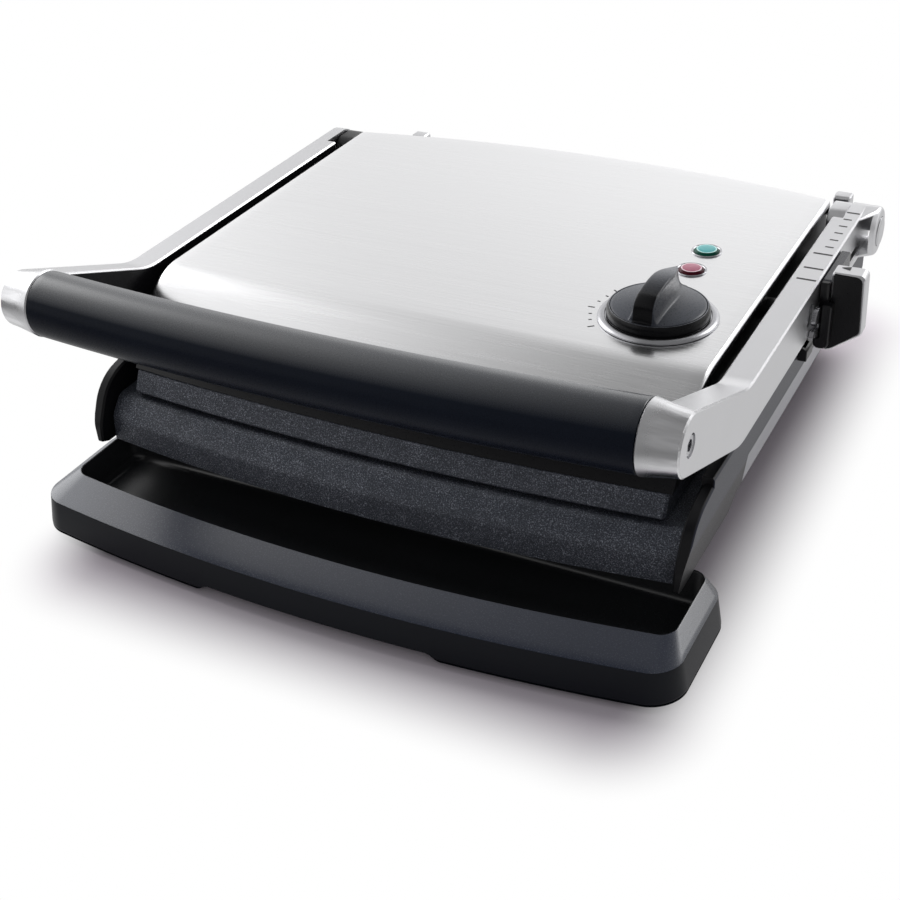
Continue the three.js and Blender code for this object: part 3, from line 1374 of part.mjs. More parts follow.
function dripTray() {
  const bow = { bow: TRAY_BOW, bowWidth: TRAY_HALF_WIDTH };
  const outside = {
    halfWidth: TRAY_HALF_WIDTH,
    front: TRAY_FRONT,
    rear: TRAY_REAR,
    corner: TRAY_CORNER,
    ...bow,
  };
  const rim = {
    halfWidth: TRAY_HALF_WIDTH - TRAY_SIDE_BEVEL,
    front: TRAY_FRONT + TRAY_FRONT_BEVEL,
    rear: TRAY_REAR - TRAY_REAR_BEVEL,
    corner: TRAY_RIM_CORNER,
    ...bow,
  };
  const lip = 1;
  const outer = loft([
    planRing(outside, 2, TRAY_BOTTOM),
    planRing(outside, 0, TRAY_BOTTOM + 2),
    planRing(outside, 0, TRAY_BAND_TOP),
    planRing(rim, 0, TRAY_RIM),
  ]);
  const inner = loft([
    planRing(rim, lip + 5, TRAY_BOTTOM + TRAY_FLOOR),
    planRing(rim, lip + 3, TRAY_BOTTOM + TRAY_FLOOR + 2),
    planRing(rim, lip, TRAY_RIM),
    planRing(rim, lip, TRAY_RIM + 5),
  ]);
  const tongues = [TONGUE_X, -TONGUE_X].map((x) =>
    block(
      [x - TONGUE_HALF_WIDTH, TRAY_REAR - 6, TONGUE_LOW],
      [x + TONGUE_HALF_WIDTH, TRAY_REAR + TONGUE_LENGTH, TONGUE_HIGH],
    ),
  );
  const hold = prism(
    "y",
    [
      [-HOLD_HALF_WIDTH, TRAY_BOTTOM - 3],
      [-HOLD_HALF_WIDTH, TRAY_BOTTOM],
      [-HOLD_HALF_WIDTH + 7, TRAY_BOTTOM + HOLD_HEIGHT, 5],
      [HOLD_HALF_WIDTH - 7, TRAY_BOTTOM + HOLD_HEIGHT, 5],
      [HOLD_HALF_WIDTH, TRAY_BOTTOM],
      [HOLD_HALF_WIDTH, TRAY_BOTTOM - 3],
    ],
    TRAY_FRONT - TRAY_BOW - 5,
    TRAY_FRONT + 4,
  );
  return cut(join(cut(outer, inner), ...tongues), hold);
}

// ---------------------------------------------------------------------------------------------------------
// The assembly
// ---------------------------------------------------------------------------------------------------------

const press = new THREE.Group();
press.name = "panini_press";

function place(name, solid, material) {
  const mesh = new THREE.Mesh(geometryOf(solid), material);
  mesh.name = name;
  press.add(mesh);
}

/** One piece for the right side and its mirror image for the left side. */
function placePair(name, solid, material) {
  place(`${name}_right`, solid, material);
  place(`${name}_left`, mirrored(solid), material);
}

// Top housing.
place("lid_cover", lidCover(), FINISH.brushedSteel);
place("top_frame", topFrame(), FINISH.black);
place("upper_plate", upperPlate(), FINISH.nonStick);
const overUpper = UPPER_PLATE_BOTTOM + PLATE_SKIN + SEAT_GAP + ELEMENT_RADIUS;
const elementFront = BASE_FRONT_WALL + 13;
place("upper_heating_element", elementLoop(overUpper, ELEMENT_HALF_WIDTH, elementFront, UPPER_PLATE_REAR - 18), FINISH.element);
const upperPan = {
  halfWidth: LID_HALF_WIDTH - 8,
  front: FRAME_FRONT + 13,
  rear: UPPER_PLATE_REAR - 2,
  corner: 10,
};
const panSeat = FRAME_BOTTOM + FRAME_WALL + SEAT_GAP;
place("upper_reflector", reflector(upperPan, 10, panSeat, panSeat + 10.2), FINISH.plainSteel);
place("thermostat", thermostat(), FINISH.ceramic);
place("power_lens", lampLens(LAMP_Y[0]), FINISH.greenLens);
place("ready_lens", lampLens(LAMP_Y[1]), FINISH.redLens);
place("power_bezel", lampBezel(LAMP_Y[0]), FINISH.trim);
place("ready_bezel", lampBezel(LAMP_Y[1]), FINISH.trim);
place("knob_ring", knobRing(), FINISH.plainSteel);
place("temperature_knob", temperatureKnob(), FINISH.knob);
place("knob_shaft", knobShaft(), FINISH.plainSteel);

// Lifting arms and handle.
place("arm_right", arm(true), FINISH.castSilver);
place("arm_left", mirrored(arm(false)), FINISH.castSilver);
placePair("arm_inner_cover", armCover(), FINISH.black);
place("handle_grip", handleGrip(), FINISH.grip);
place("handle_core", handleCore(), FINISH.plainSteel);
placePair("handle_bolt", handleBolt(), FINISH.plainSteel);
place("hinge_cap", hingeCap(), FINISH.castSilver);
placePair("pivot_bolt", pivotBolt(), FINISH.plainSteel);
placePair("pivot_spacer", pivotSpacer(), FINISH.black);

// Height slider.
place("height_slider", heightSlider(), FINISH.castSilver);
place("slider_knob", sliderKnob(), FINISH.castSilver);
place("slider_knob_face", sliderKnobFace(), FINISH.black);
place("latch_bracket", latchBracket(), FINISH.black);
place("latch_hook", latchHook(), FINISH.plainSteel);

// Base.
place("base_housing", baseHousing(), FINISH.slate);
placePair("side_strip", sideStrip(), FINISH.trim);
place("bottom_cover", bottomCover(), FINISH.black);
place("lower_plate", lowerPlate(), FINISH.nonStick);
const underLower = LOWER_PLATE_TOP - PLATE_SKIN - 1 - SEAT_GAP - ELEMENT_RADIUS;
place("lower_heating_element", elementLoop(underLower, ELEMENT_HALF_WIDTH, elementFront, LOWER_PLATE_REAR - 26), FINISH.element);
const lowerPan = {
  halfWidth: BASE_HALF_WIDTH - 12,
  front: BASE_FRONT_WALL + 8,
  rear: LOWER_PLATE_REAR - 1,
  corner: 8,
};
const wellLip = lowerPan.halfWidth - UNDERCUT_HALF_WIDTH + 4;
place("lower_reflector", reflector(lowerPan, wellLip, TUB_STEP + SEAT_GAP, TUB_STEP - 6), FINISH.plainSteel);
place("thermal_fuse", thermalFuse(), FINISH.ceramic);
place("terminal_block", terminalBlock(), FINISH.ceramic);
place("cord_inlet_gland", cordGland(), FINISH.rubber);
place("latch_keeper", latchKeeper(), FINISH.black);
placePair("hinge_tower", hingeTower(), FINISH.black);
placePair("hinge_pin", hingePin(), FINISH.plainSteel);
place("rear_cover", rearCover(), FINISH.slate);
placePair("rear_stand", rearStand(), FINISH.castSilver);
for (const [row, y] of [["front", FOOT_Y[0]], ["rear", FOOT_Y[1]]]) {
  place(`foot_${row}_right`, foot(FOOT_X, y), FINISH.rubber);
  place(`foot_${row}_left`, foot(-FOOT_X, y), FINISH.rubber);
}
place("drip_tray", dripTray(), FINISH.black);

// The origin goes to the middle of the footprint.
const bounds = new THREE.Box3().setFromObject(press);
const middle = bounds.getCenter(new THREE.Vector3());
for (const mesh of press.children) {
  mesh.geometry.translate(-middle.x, -middle.y, -bounds.min.z);
}

export default press;
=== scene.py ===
"""Looks of a flat contact grill for toasted sandwiches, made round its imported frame."""

import logging
import math
from collections.abc import Sequence
from dataclasses import dataclass, field
from enum import Enum

import bmesh
import bpy
import numpy as np
from mathutils import Matrix, Vector


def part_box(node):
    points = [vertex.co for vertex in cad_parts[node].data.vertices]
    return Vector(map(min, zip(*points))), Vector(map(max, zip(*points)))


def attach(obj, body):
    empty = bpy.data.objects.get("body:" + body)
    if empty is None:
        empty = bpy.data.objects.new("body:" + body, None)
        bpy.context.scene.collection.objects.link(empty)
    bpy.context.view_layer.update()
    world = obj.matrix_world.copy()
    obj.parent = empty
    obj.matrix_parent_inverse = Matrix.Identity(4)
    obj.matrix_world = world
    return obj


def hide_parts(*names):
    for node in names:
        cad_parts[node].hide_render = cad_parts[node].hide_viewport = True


LOG = logging.getLogger("contact_grill")
MM = 0.001
CROWDED = 1e-6  # metres within which two vertices are one
LEAST_ANGLE = 1e-6  # radians, so that nothing is divided by zero
HINGE_Y = -3.5  # millimetres, the place of the arms' hinge on the drawing
SHARP_ANGLE = 34.0  # degrees past which an edge of a node stays crisp
EASE_ANGLE = 26.0  # degrees past which an edge of a new piece is eased
EASE_STRIPS = 2  # strips across an eased edge
AREA_WEIGHT = 60  # pull of large faces on the normals, from 1 to 100
NOISE_WINDOW = (0.3, 0.7)  # the values between which most of a noise lies
SLOW_CELLS = (14.0, 14.0, 14.0)  # cells per metre of the noise by which a colour wanders

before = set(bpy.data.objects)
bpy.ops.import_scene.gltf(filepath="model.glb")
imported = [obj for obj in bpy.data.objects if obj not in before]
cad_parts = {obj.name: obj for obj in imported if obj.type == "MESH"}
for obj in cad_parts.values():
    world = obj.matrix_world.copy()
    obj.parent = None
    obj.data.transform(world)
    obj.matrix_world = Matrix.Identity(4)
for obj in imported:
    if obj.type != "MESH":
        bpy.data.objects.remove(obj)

Array = np.ndarray
Colour = tuple[float, float, float]
Corner = tuple[float, float, float]
Pair = tuple[float, float]
Ends = tuple[float, float, float, float]
Socket = bpy.types.NodeSocket

Level = tuple[float, float, Array | float]  # share of the bevel, millimetres drawn in, heights

WHITE = (1.0, 1.0, 1.0)


class Body(Enum):
    """The moving bodies of the frame."""

    BASE = "base"
    ARMS = "arms"
    HOUSING = "top_housing"
    SLIDER = "slider"
    KNOB = "knob"
    TRAY = "tray"


class Slot(Enum):
    """The finishes that the record names."""

    LID = "lid_cover"
    SILVER = "cast_silver"
    STEEL = "plain_steel"
    SLATE = "slate"
    TRIM = "trim"
    BLACK = "black"
    GRIP = "grip"
    PLATE = "plate"
    KNOB = "knob"
    FOOT = "foot"
    ELEMENT = "element"
    CERAMIC = "ceramic"
    GREEN = "green_lens"
    RED = "red_lens"


# ---------------------------------------------------------------------------------------------------------
# Finishes
# ---------------------------------------------------------------------------------------------------------


class Blend(Enum):
    """What a mix node blends: its data type, its two inputs and its output."""

    COLOUR = ("RGBA", 6, 7, 2)
    NUMBER = ("FLOAT", 2, 3, 0)


class Wiring:
    """A node tree, emptied, with short ways to add to it."""

    def __init__(self, tree: bpy.types.NodeTree) -> None:
        """Empty the tree."""
        self.nodes, self.links = tree.nodes, tree.links
        self.nodes.clear()

    def put(self, value: Socket | float | Colour, socket: Socket) -> None:
        """Link a socket to another one, or set it to a number or a colour."""
        if isinstance(value, bpy.types.NodeSocket):
            self.links.new(value, socket)
        else:
            socket.default_value = (*value, 1.0) if isinstance(value, tuple) else value

    def calculate(self, operation: str, *values: Socket | float) -> Socket:
        """Combine values, each a socket or a number, by a math node."""
        node = self.nodes.new("ShaderNodeMath")
        node.operation = operation
        for socket, value in zip(node.inputs, values, strict=False):
            self.put(value, socket)
        return node.outputs[0]

    def measure(self, operation: str, place: Socket, other: Sequence[float] | None = None) -> Socket:
        """Apply a vector operation to a place, with a second vector where it takes one."""
        node = self.nodes.new("ShaderNodeVectorMath")
        node.operation = operation
        self.links.new(place, node.inputs[0])
        if other is not None:
            node.inputs[1].default_value = other
        return node.outputs["Value" if operation in ("LENGTH", "DOT_PRODUCT") else "Vector"]

    def map_range(self, value: Socket, ends: Ends, smooth: bool = False) -> Socket:
        """Map a value from one range to another, and no further than its ends.

        Args:
            value: The value.
            ends: Both ends of its own range, then both of the new one.
            smooth: Whether it goes from end to end by a smooth step.

        Returns:
            The socket that gives the result.
        """
        node = self.nodes.new("ShaderNodeMapRange")
        node.interpolation_type = "SMOOTHSTEP" if smooth else "LINEAR"
        for name, end in zip(("From Min", "From Max", "To Min", "To Max"), ends, strict=True):
            node.inputs[name].default_value = end
        self.links.new(value, node.inputs["Value"])
        return node.outputs["Result"]

    def tint(self, fac: Socket, stops: Sequence[tuple[float, Colour]]) -> Socket:
        """Give a colour for each value, through a ramp with these stops."""
        ramp = self.nodes.new("ShaderNodeValToRGB")
        points = ramp.color_ramp.elements
        points[0].position, points[0].color = stops[0][0], (*stops[0][1], 1.0)
        points[1].position, points[1].color = stops[-1][0], (*stops[-1][1], 1.0)
        for position, colour in stops[1:-1]:
            points.new(position).color = (*colour, 1.0)
        self.links.new(fac, ramp.inputs["Fac"])
        return ramp.outputs["Color"]

    def blend(
        self, share: Socket | float, first: Socket | float | Colour, second: Socket | float | Colour,
        kind: Blend = Blend.COLOUR, how: str = "MIX",
    ) -> Socket:
        """Blend two values.

        Args:
            share: How much the second one counts, from 0 to 1.
            first: Number, colour or socket.
            second: Number, colour or socket.
            kind: What both are.
            how: How a colour takes the second one.

        Returns:
            The socket that gives the result.
        """
        data_type, here, there, out = kind.value
        node = self.nodes.new("ShaderNodeMix")
        node.data_type = data_type
        node.blend_type = how
        for value, socket in ((share, "Factor"), (first, here), (second, there)):
            self.put(value, node.inputs[socket])
        return node.outputs[out]

    def shader_between(self, share: Socket, first: Socket, second: Socket) -> Socket:
        """Mix two shaders, the second by a share."""
        node = self.nodes.new("ShaderNodeMixShader")
        for value, socket in zip((share, first, second), node.inputs, strict=True):
            self.links.new(value, socket)
        return node.outputs[0]

    def background(self, colour: Socket | Colour, strength: float = 1.0) -> Socket:
        """Make a plain light for a world."""
        node = self.nodes.new("ShaderNodeBackground")
        self.put(colour, node.inputs["Color"])
        self.put(strength, node.inputs["Strength"])
        return node.outputs[0]

    def parts(self, place: Socket) -> bpy.types.NodeOutputs:
        """Split a place into X, Y and Z."""
        node = self.nodes.new("ShaderNodeSeparateXYZ")
        self.links.new(place, node.inputs[0])
        return node.outputs


class Shader(Wiring):
    """The tree of a material with one Principled shader."""

    def __init__(self, material: bpy.types.Material) -> None:
        """Set the shader, its output and the piece's own coordinates."""
        material.use_nodes = True
        super().__init__(material.node_tree)
        self.material = material
        self.principled = self.nodes.new("ShaderNodeBsdfPrincipled")
        output = self.nodes.new("ShaderNodeOutputMaterial")
        self.links.new(self.principled.outputs["BSDF"], output.inputs["Surface"])
        self.place = self.nodes.new("ShaderNodeTexCoord").outputs["Object"]

    def feed(self, name: str, value: Socket | float) -> None:
        """Link or set one of the shader's inputs."""
        self.put(value, self.principled.inputs[name])

    def fed(self, name: str) -> Socket:
        """What feeds one of the shader's inputs."""
        return self.principled.inputs[name].links[0].from_socket

    def zone(self) -> Socket:
        """The zone that the mesh gives each face or corner."""
        node = self.nodes.new("ShaderNodeAttribute")
        node.attribute_name = "zone"
        return node.outputs["Fac"]

    def noise(self, stretch: Colour, detail: float, roughness: float = 0.6) -> Socket:
        """Noise over the piece's own place.

        Args:
            stretch: Cells per metre along x, y and z.
            detail: Octaves of the noise.
            roughness: Share that each octave keeps of the last one.

        Returns:
            The socket that gives the noise, from 0 to 1.
        """
        mapping = self.nodes.new("ShaderNodeMapping")
        mapping.inputs["Scale"].default_value = stretch
        texture = self.nodes.new("ShaderNodeTexNoise")
        texture.inputs["Scale"].default_value = 1.0
        texture.inputs["Detail"].default_value = detail
        texture.inputs["Roughness"].default_value = roughness
        self.links.new(self.place, mapping.inputs["Vector"])
        self.links.new(mapping.outputs["Vector"], texture.inputs["Vector"])
        return texture.outputs["Fac"]

    def between(self, noise: Socket, low: float, high: float) -> Socket:
        """Let a noise run from low to high over its window."""
        return self.map_range(noise, (*NOISE_WINDOW, low, high))

    def bump(self, height: Socket, depth: float, strength: float) -> None:
        """Let a height raise the surface by up to depth metres, on top of any bump before it."""
        node = self.nodes.new("ShaderNodeBump")
        node.inputs["Distance"].default_value = depth
        node.inputs["Strength"].default_value = strength
        normal = self.principled.inputs["Normal"]
        if normal.is_linked:
            self.links.new(normal.links[0].from_socket, node.inputs["Normal"])
        self.links.new(height, node.inputs["Height"])
        self.links.new(node.outputs["Normal"], normal)


def shade(colour: Colour, share: float) -> Colour:
    """A colour made lighter or darker by a share."""
    return tuple(min(1.0, channel * share) for channel in colour)


@dataclass(frozen=True)
class Finish:
    """A satin moulded or painted surface with a fine grain.

    The colour wanders by a few hundredths over a slow noise, and a fine noise drives both the roughness
    and a shallow bump.
    """

    name: str
    colour: Colour
    roughness: float = 0.45
    metallic: float = 0.0
    specular: float = 0.5
    wander: float = 0.06
    grain: float = 900.0
    grain_depth: float = 0.00004
    spread: float = 0.05

    def material(self) -> bpy.types.Material:
        """Make the finish as a material."""
        shader = Shader(bpy.data.materials.new(self.name))
        shader.feed("Metallic", self.metallic)
        shader.feed("Specular IOR Level", self.specular)
        self.dress(shader)
        return shader.material

    def dress(self, shader: Shader) -> None:
        """Add the colour, roughness and grain of this finish."""
        shader.feed("Base Color", shader.tint(shader.noise(SLOW_CELLS, 3.0), self.shades()))
        fine = shader.noise((self.grain,) * 3, 2.0)
        self.roughen(shader, fine)
        shader.bump(fine, self.grain_depth, 0.6)

    def shades(self) -> list[tuple[float, Colour]]:
        """Stops of a ramp over a noise's window, from the darker to the lighter colour."""
        pair = shade(self.colour, 1 - self.wander), shade(self.colour, 1 + self.wander)
        return list(zip(NOISE_WINDOW, pair, strict=True))

    def roughen(self, shader: Shader, noise: Socket, sign: int = 1) -> None:
        """Let a noise move the roughness by the spread, up with the noise or, with sign -1, down."""
        step = sign * self.spread
        shader.feed("Roughness", shader.between(noise, self.roughness - step, self.roughness + step))


@dataclass(frozen=True)
class Brushed(Finish):
    """Metal with fine scratches along one axis.

    The scratches are a noise stretched along the brushing. A fine one and a coarse one share the bump, and
    the fine one also drives colour and roughness.
    """

    along: Colour = (9.0, 1500.0, 1500.0)
    coarse_share: float = 0.28
    scratch: float = 0.00001

    def dress(self, shader: Shader) -> None:
        """Add the scratches."""
        fine = shader.noise(self.along, 3.0, 0.65)
        coarse = shader.noise(tuple(step * self.coarse_share for step in self.along), 2.0)
        shader.feed("Base Color", shader.tint(fine, self.shades()))
        self.roughen(shader, fine)
        shader.bump(coarse, self.scratch * 2, 0.5)
        shader.bump(fine, self.scratch, 0.5)


@dataclass(frozen=True)
class Banded(Finish):
    """Satin metal whose caps are polished along one axis.

    The attribute "zone" is 1 on the caps. There, a noise stretched along the polishing gives broad bands that
    differ in roughness, which is the polish itself, and in colour: the lighter and darker colour bands are
    painted reflections that stand in for the light and dark streaks a polished cylinder mirrors.
    """

    along: Colour = (1.5, 170.0, 170.0)
    dark: float = 0.86
    light: float = 1.24
    smooth_roughness: float = 0.2
    rough_roughness: float = 0.28
    band_stops: Colour = (0.38, 0.5, 0.6)

    def dress(self, shader: Shader) -> None:
        """Add the bands over the plain finish."""
        super().dress(shader)
        zone = shader.zone()
        broad = shader.noise(self.along, 2.0, 0.5)
        levels = (self.dark, 0.5 * (self.dark + self.light), self.light)
        tones = [shade(self.colour, level) for level in levels]
        # the colour bands are painted reflections; the roughness bands below are the polish itself
        bands = shader.tint(broad, list(zip(self.band_stops, tones, strict=True)))
        gloss = shader.between(broad, self.rough_roughness, self.smooth_roughness)
        shader.feed("Base Color", shader.blend(zone, shader.fed("Base Color"), bands))
        shader.feed("Roughness", shader.blend(zone, shader.fed("Roughness"), gloss, Blend.NUMBER))


@dataclass(frozen=True)
class Granular(Finish):
    """A baked non-stick coating with pale grains.

    A fine noise picks out grains that are lighter and smoother than the coat between them, and slow
    patches have a few more of them.
    """

    speck: Colour = (0.32, 0.345, 0.4)
    patch_cells: float = 60.0
    patch_share: float = 0.12
    grain_stops: Ends = (0.44, 0.56, 0.66, 0.76)

    def dress(self, shader: Shader) -> None:
        """Add the grains."""
        grains = shader.noise((self.grain,) * 3, 2.0, 0.7)
        patches = shader.noise((self.patch_cells,) * 3, 2.0)
        mixed = shader.calculate("MULTIPLY_ADD", patches, self.patch_share, grains)
        middle = tuple((a + b) * 0.3 for a, b in zip(self.colour, self.speck, strict=True))
        tones = (shade(self.colour, 0.7), self.colour, middle, self.speck)
        shader.feed("Base Color", shader.tint(mixed, list(zip(self.grain_stops, tones, strict=True))))
        self.roughen(shader, grains, -1)
        shader.bump(grains, self.grain_depth, 0.8)


@dataclass(frozen=True)
class Zoned(Finish):
    """A moulding whose faces differ by zone.

    The zone is an attribute of the mesh, from 0 to 2. The colour, the roughness and the shine of the three
    zones are blended by it, over a slow mottle and a fine grain. On the knob, the lenses and the tray the
    zones
    are lit and shaded tones of one moulding: their colours are painted light and shade.
    """

    second: Colour = (0.07, 0.077, 0.095)
    third: Colour = (0.004, 0.004, 0.004)
    second_roughness: float = 0.34
    third_roughness: float = 0.2
    shines: Colour = (0.5, 0.5, 0.5)

    def dress(self, shader: Shader) -> None:
        """Add the colours, the gloss and the shine of the zones."""
        halved = shader.calculate("MULTIPLY", shader.zone(), 0.5)

        def by_zone(levels: Sequence[Colour]) -> Socket:
            return shader.tint(halved, list(zip((0.0, 0.5, 1.0), levels, strict=True)))

        faded = (shade(WHITE, 1 - self.wander), WHITE)
        mottle = shader.tint(shader.noise(SLOW_CELLS, 3.0), list(zip(NOISE_WINDOW, faded, strict=True)))
        plain = by_zone((self.colour, self.second, self.third))
        shader.feed("Base Color", shader.blend(1.0, plain, mottle, how="MULTIPLY"))
        shader.feed("Specular IOR Level", by_zone([(level,) * 3 for level in self.shines]))
        fine = shader.noise((self.grain,) * 3, 2.0)
        levels = (self.roughness, self.second_roughness, self.third_roughness)
        stepped = by_zone([(level,) * 3 for level in levels])
        wavering = shader.between(fine, -self.spread, self.spread)
        shader.feed("Roughness", shader.calculate("ADD", stepped, wavering))
        shader.bump(fine, self.grain_depth, 0.4)


@dataclass(frozen=True)
class Topped(Finish):
    """A moulding whose shine grows with height, from its own to the top's between two heights in metres."""

    heights: Pair = (0.1385, 0.1462)
    top_specular: float = 1.25

    def dress(self, shader: Shader) -> None:
        """Add the shine over the plain finish."""
        super().dress(shader)
        ends = (*self.heights, self.specular, self.top_specular)
        shader.feed("Specular IOR Level", shader.map_range(shader.parts(shader.place)["Z"], ends))


@dataclass(frozen=True)
class ShadedInside(Finish):
    """A moulding that is darker inside.

    The inside is whatever lies within a half width of its middle plane, between the cheeks, and its darker
    colour is painted shade where the parts above shade the housing. The change takes half a millimetre. All
    three are in metres.
    """

    # colour of the painted shade inside the cheeks
    inside_shade: Colour = (0.006, 0.006, 0.007)
    middle: float = -0.01022
    half_width: float = 0.1632
    change: float = 0.0005

    def dress(self, shader: Shader) -> None:
        """Add the two colours over the plain finish."""
        super().dress(shader)
        shifted = shader.calculate("SUBTRACT", shader.parts(shader.place)["X"], self.middle)
        ends = (self.half_width, self.half_width + self.change, 0.0, 1.0)
        outside = shader.map_range(shader.calculate("ABSOLUTE", shifted), ends)
        # painted shade inside, the plain colour outside
        shader.feed("Base Color", shader.blend(outside, self.inside_shade, shader.fed("Base Color")))


SATIN = {"metallic": 1.0, "wander": 0.02, "grain": 2200.0}
LENS = {"grain": 300.0, "grain_depth": 0.000004, "spread": 0.02, "wander": 0.1, "second_roughness": 0.16,
        "shines": (0.12, 0.5, 0.5)}

FINISHES: dict[Slot, Finish] = {
    Slot.LID: Brushed("brushed stainless lid", (0.8, 0.8, 0.81), 0.25, 1.0, wander=0.035, spread=0.035),
    Slot.SILVER: Finish("satin cast silver", (0.66, 0.66, 0.675), 0.34, grain_depth=0.00002, **SATIN),
    Slot.STEEL: Brushed("drawn steel", (0.5, 0.5, 0.52), 0.28, 1.0, along=(400.0, 400.0, 60.0)),
    Slot.SLATE: Finish("slate moulding", (0.062, 0.067, 0.086), 0.36, grain=1600.0),
    Slot.TRIM: Finish("silver paint", (0.4, 0.41, 0.43), 0.36, 0.7, grain=2600.0),
    Slot.BLACK: Finish("black moulding", (0.006, 0.006, 0.007), 0.32, specular=0.3, grain=1400.0),
    Slot.GRIP: Topped("soft grip", (0.009, 0.012, 0.019), 0.28, specular=0.06, grain=2400.0,
                      grain_depth=0.000006, wander=0.1),
    Slot.PLATE: Granular("granular coating", (0.034, 0.039, 0.052), 0.42, 0.3, grain=1700.0,
                         grain_depth=0.00025, spread=0.12),
    # the knob's three tones are lit and shaded copies of one black moulding: painted shade and painted
    # highlight
    Slot.KNOB: Zoned("knob moulding", (0.003, 0.003, 0.004), 0.3, grain=1800.0,
                     second=(0.029, 0.034, 0.047), third=(0.1, 0.106, 0.128), second_roughness=0.3,
                     third_roughness=0.3, shines=(0.2, 0.45, 0.6)),
    Slot.FOOT: Finish("foot rubber", (0.012, 0.012, 0.012), 0.75, grain=700.0, grain_depth=0.0001),
    Slot.ELEMENT: Finish("oxidised element", (0.1, 0.095, 0.09), 0.5, 0.8, grain=500.0, wander=0.3),
    Slot.CERAMIC: Finish("ceramic", (0.79, 0.75, 0.67), 0.6, grain=400.0),
    # each lens is one colour in three tones: a pale painted highlight on the edge, painted shade on the side
    Slot.GREEN: Zoned("teal lens", (0.0, 0.075, 0.048), 0.16, second=(0.09, 0.45, 0.46),
                      third=(0.6, 0.95, 0.92), **LENS),
    Slot.RED: Zoned("rose lens", (0.07, 0.002, 0.01), 0.16, second=(0.45, 0.13, 0.2),
                    third=(0.95, 0.72, 0.78), **LENS),
}

POLISHED = Finish("polished ring", (0.44, 0.44, 0.46), 0.24, grain_depth=0.000008, spread=0.03, **SATIN)
# the base housing, with painted shade inside its cheeks
HOUSING_MOULDING = ShadedInside("base moulding", (0.034, 0.038, 0.054), 0.34, specular=0.2, grain=1600.0)
# one black moulding in three tones: part of the bevel's lighter, bluer tone is painted reflection
TRAY_MOULDING = Zoned("tray moulding", (0.007, 0.0085, 0.012), 0.34, specular=0.4, grain=1500.0,
                      grain_depth=0.000004, spread=0.03, wander=0.1, second=(0.028, 0.035, 0.056),
                      third=(0.019, 0.02, 0.022), second_roughness=0.26, third_roughness=0.3,
                      shines=(0.12, 0.86, 0.8))
# the arms' caps carry painted reflection bands in colour over the satin casting
ARM_CASTING = Banded("satin arm casting", (0.66, 0.66, 0.675), 0.34, grain_depth=0.00002, **SATIN)
PAD_MOULDING = Finish("slider pad", (0.03, 0.031, 0.038), 0.3, grain=1800.0)


class Palette:
    """Every finish as a material, made once when it is first asked for."""

    def __init__(self) -> None:
        """Start with nothing made."""
        self.made: dict[str, bpy.types.Material] = {}

    def of(self, finish: Finish) -> bpy.types.Material:
        """The material of a finish."""
        if finish.name not in self.made:
            self.made[finish.name] = finish.material()
        return self.made[finish.name]

    def slot(self, slot: Slot) -> bpy.types.Material:
        """The material of a slot of the record."""
        return self.of(FINISHES[slot])


# ---------------------------------------------------------------------------------------------------------
# Surfaces
# ---------------------------------------------------------------------------------------------------------


def rounded(corners: Sequence[Corner], pieces: int) -> Array:
    """Points of an open outline whose inner corners are arcs.

    An arc touches both sides at radius over the tangent of half the corner's angle, and its centre lies on
    the corner's bisector at radius over the sine of that half angle.

    Args:
        corners: Place and radius of each corner.
        pieces: Straight runs in each arc.

    Returns:
        One point in each row.
    """
    spots = np.array([corner[:2] for corner in corners], float)
    found = []
    for i, (_, _, radius) in enumerate(corners):
        here = spots[i]
        if i in (0, len(corners) - 1) or radius <= 0:
            found.append(here[None])
            continue
        back = spots[i - 1] - here
        ahead = spots[i + 1] - here
        back /= np.linalg.norm(back)
        ahead /= np.linalg.norm(ahead)
        half = math.acos(float(np.clip(back @ ahead, -1, 1))) / 2
        bisector = (back + ahead) / np.linalg.norm(back + ahead)
        centre = here + bisector * radius / math.sin(half)
        start = here + back * radius / math.tan(half) - centre
        end = here + ahead * radius / math.tan(half) - centre
        first = math.atan2(start[1], start[0])
        turn = (math.atan2(end[1], end[0]) - first + math.pi) % (2 * math.pi) - math.pi
        angle = first + turn * np.linspace(0, 1, pieces + 1)
        found.append(centre + radius * np.stack([np.cos(angle), np.sin(angle)], 1))
    return np.concatenate(found)


def smooth_step(share: Array) -> Array:
    """A share from 0 to 1 that leaves both ends level."""
    return share * share * (3 - 2 * share)


def divided(points: Array, longest: float) -> Array:
    """An open line with its longer runs cut into even steps no longer than a length."""
    steps = np.maximum(1, np.ceil(np.linalg.norm(np.diff(points, axis=0), axis=1) / longest)).astype(int)
    runs = np.repeat(np.arange(len(steps)), steps)
    share = (np.arange(len(runs)) - np.repeat(np.cumsum(steps) - steps, steps)) / steps[runs]
    inner = points[runs] + (points[runs + 1] - points[runs]) * share[:, None]
    return np.concatenate([inner, points[-1:]])


def normals_of(points: Array) -> Array:
    """Left-hand unit normals of an open line, each the mean of its two neighbours' normals."""
    runs = np.diff(points, axis=0)
    sides = np.stack([-runs[:, 1], runs[:, 0]], 1) / np.linalg.norm(runs, axis=1)[:, None]
    summed = np.concatenate([sides[:1], sides[1:] + sides[:-1], sides[-1:]])
    return summed / np.linalg.norm(summed, axis=1)[:, None]


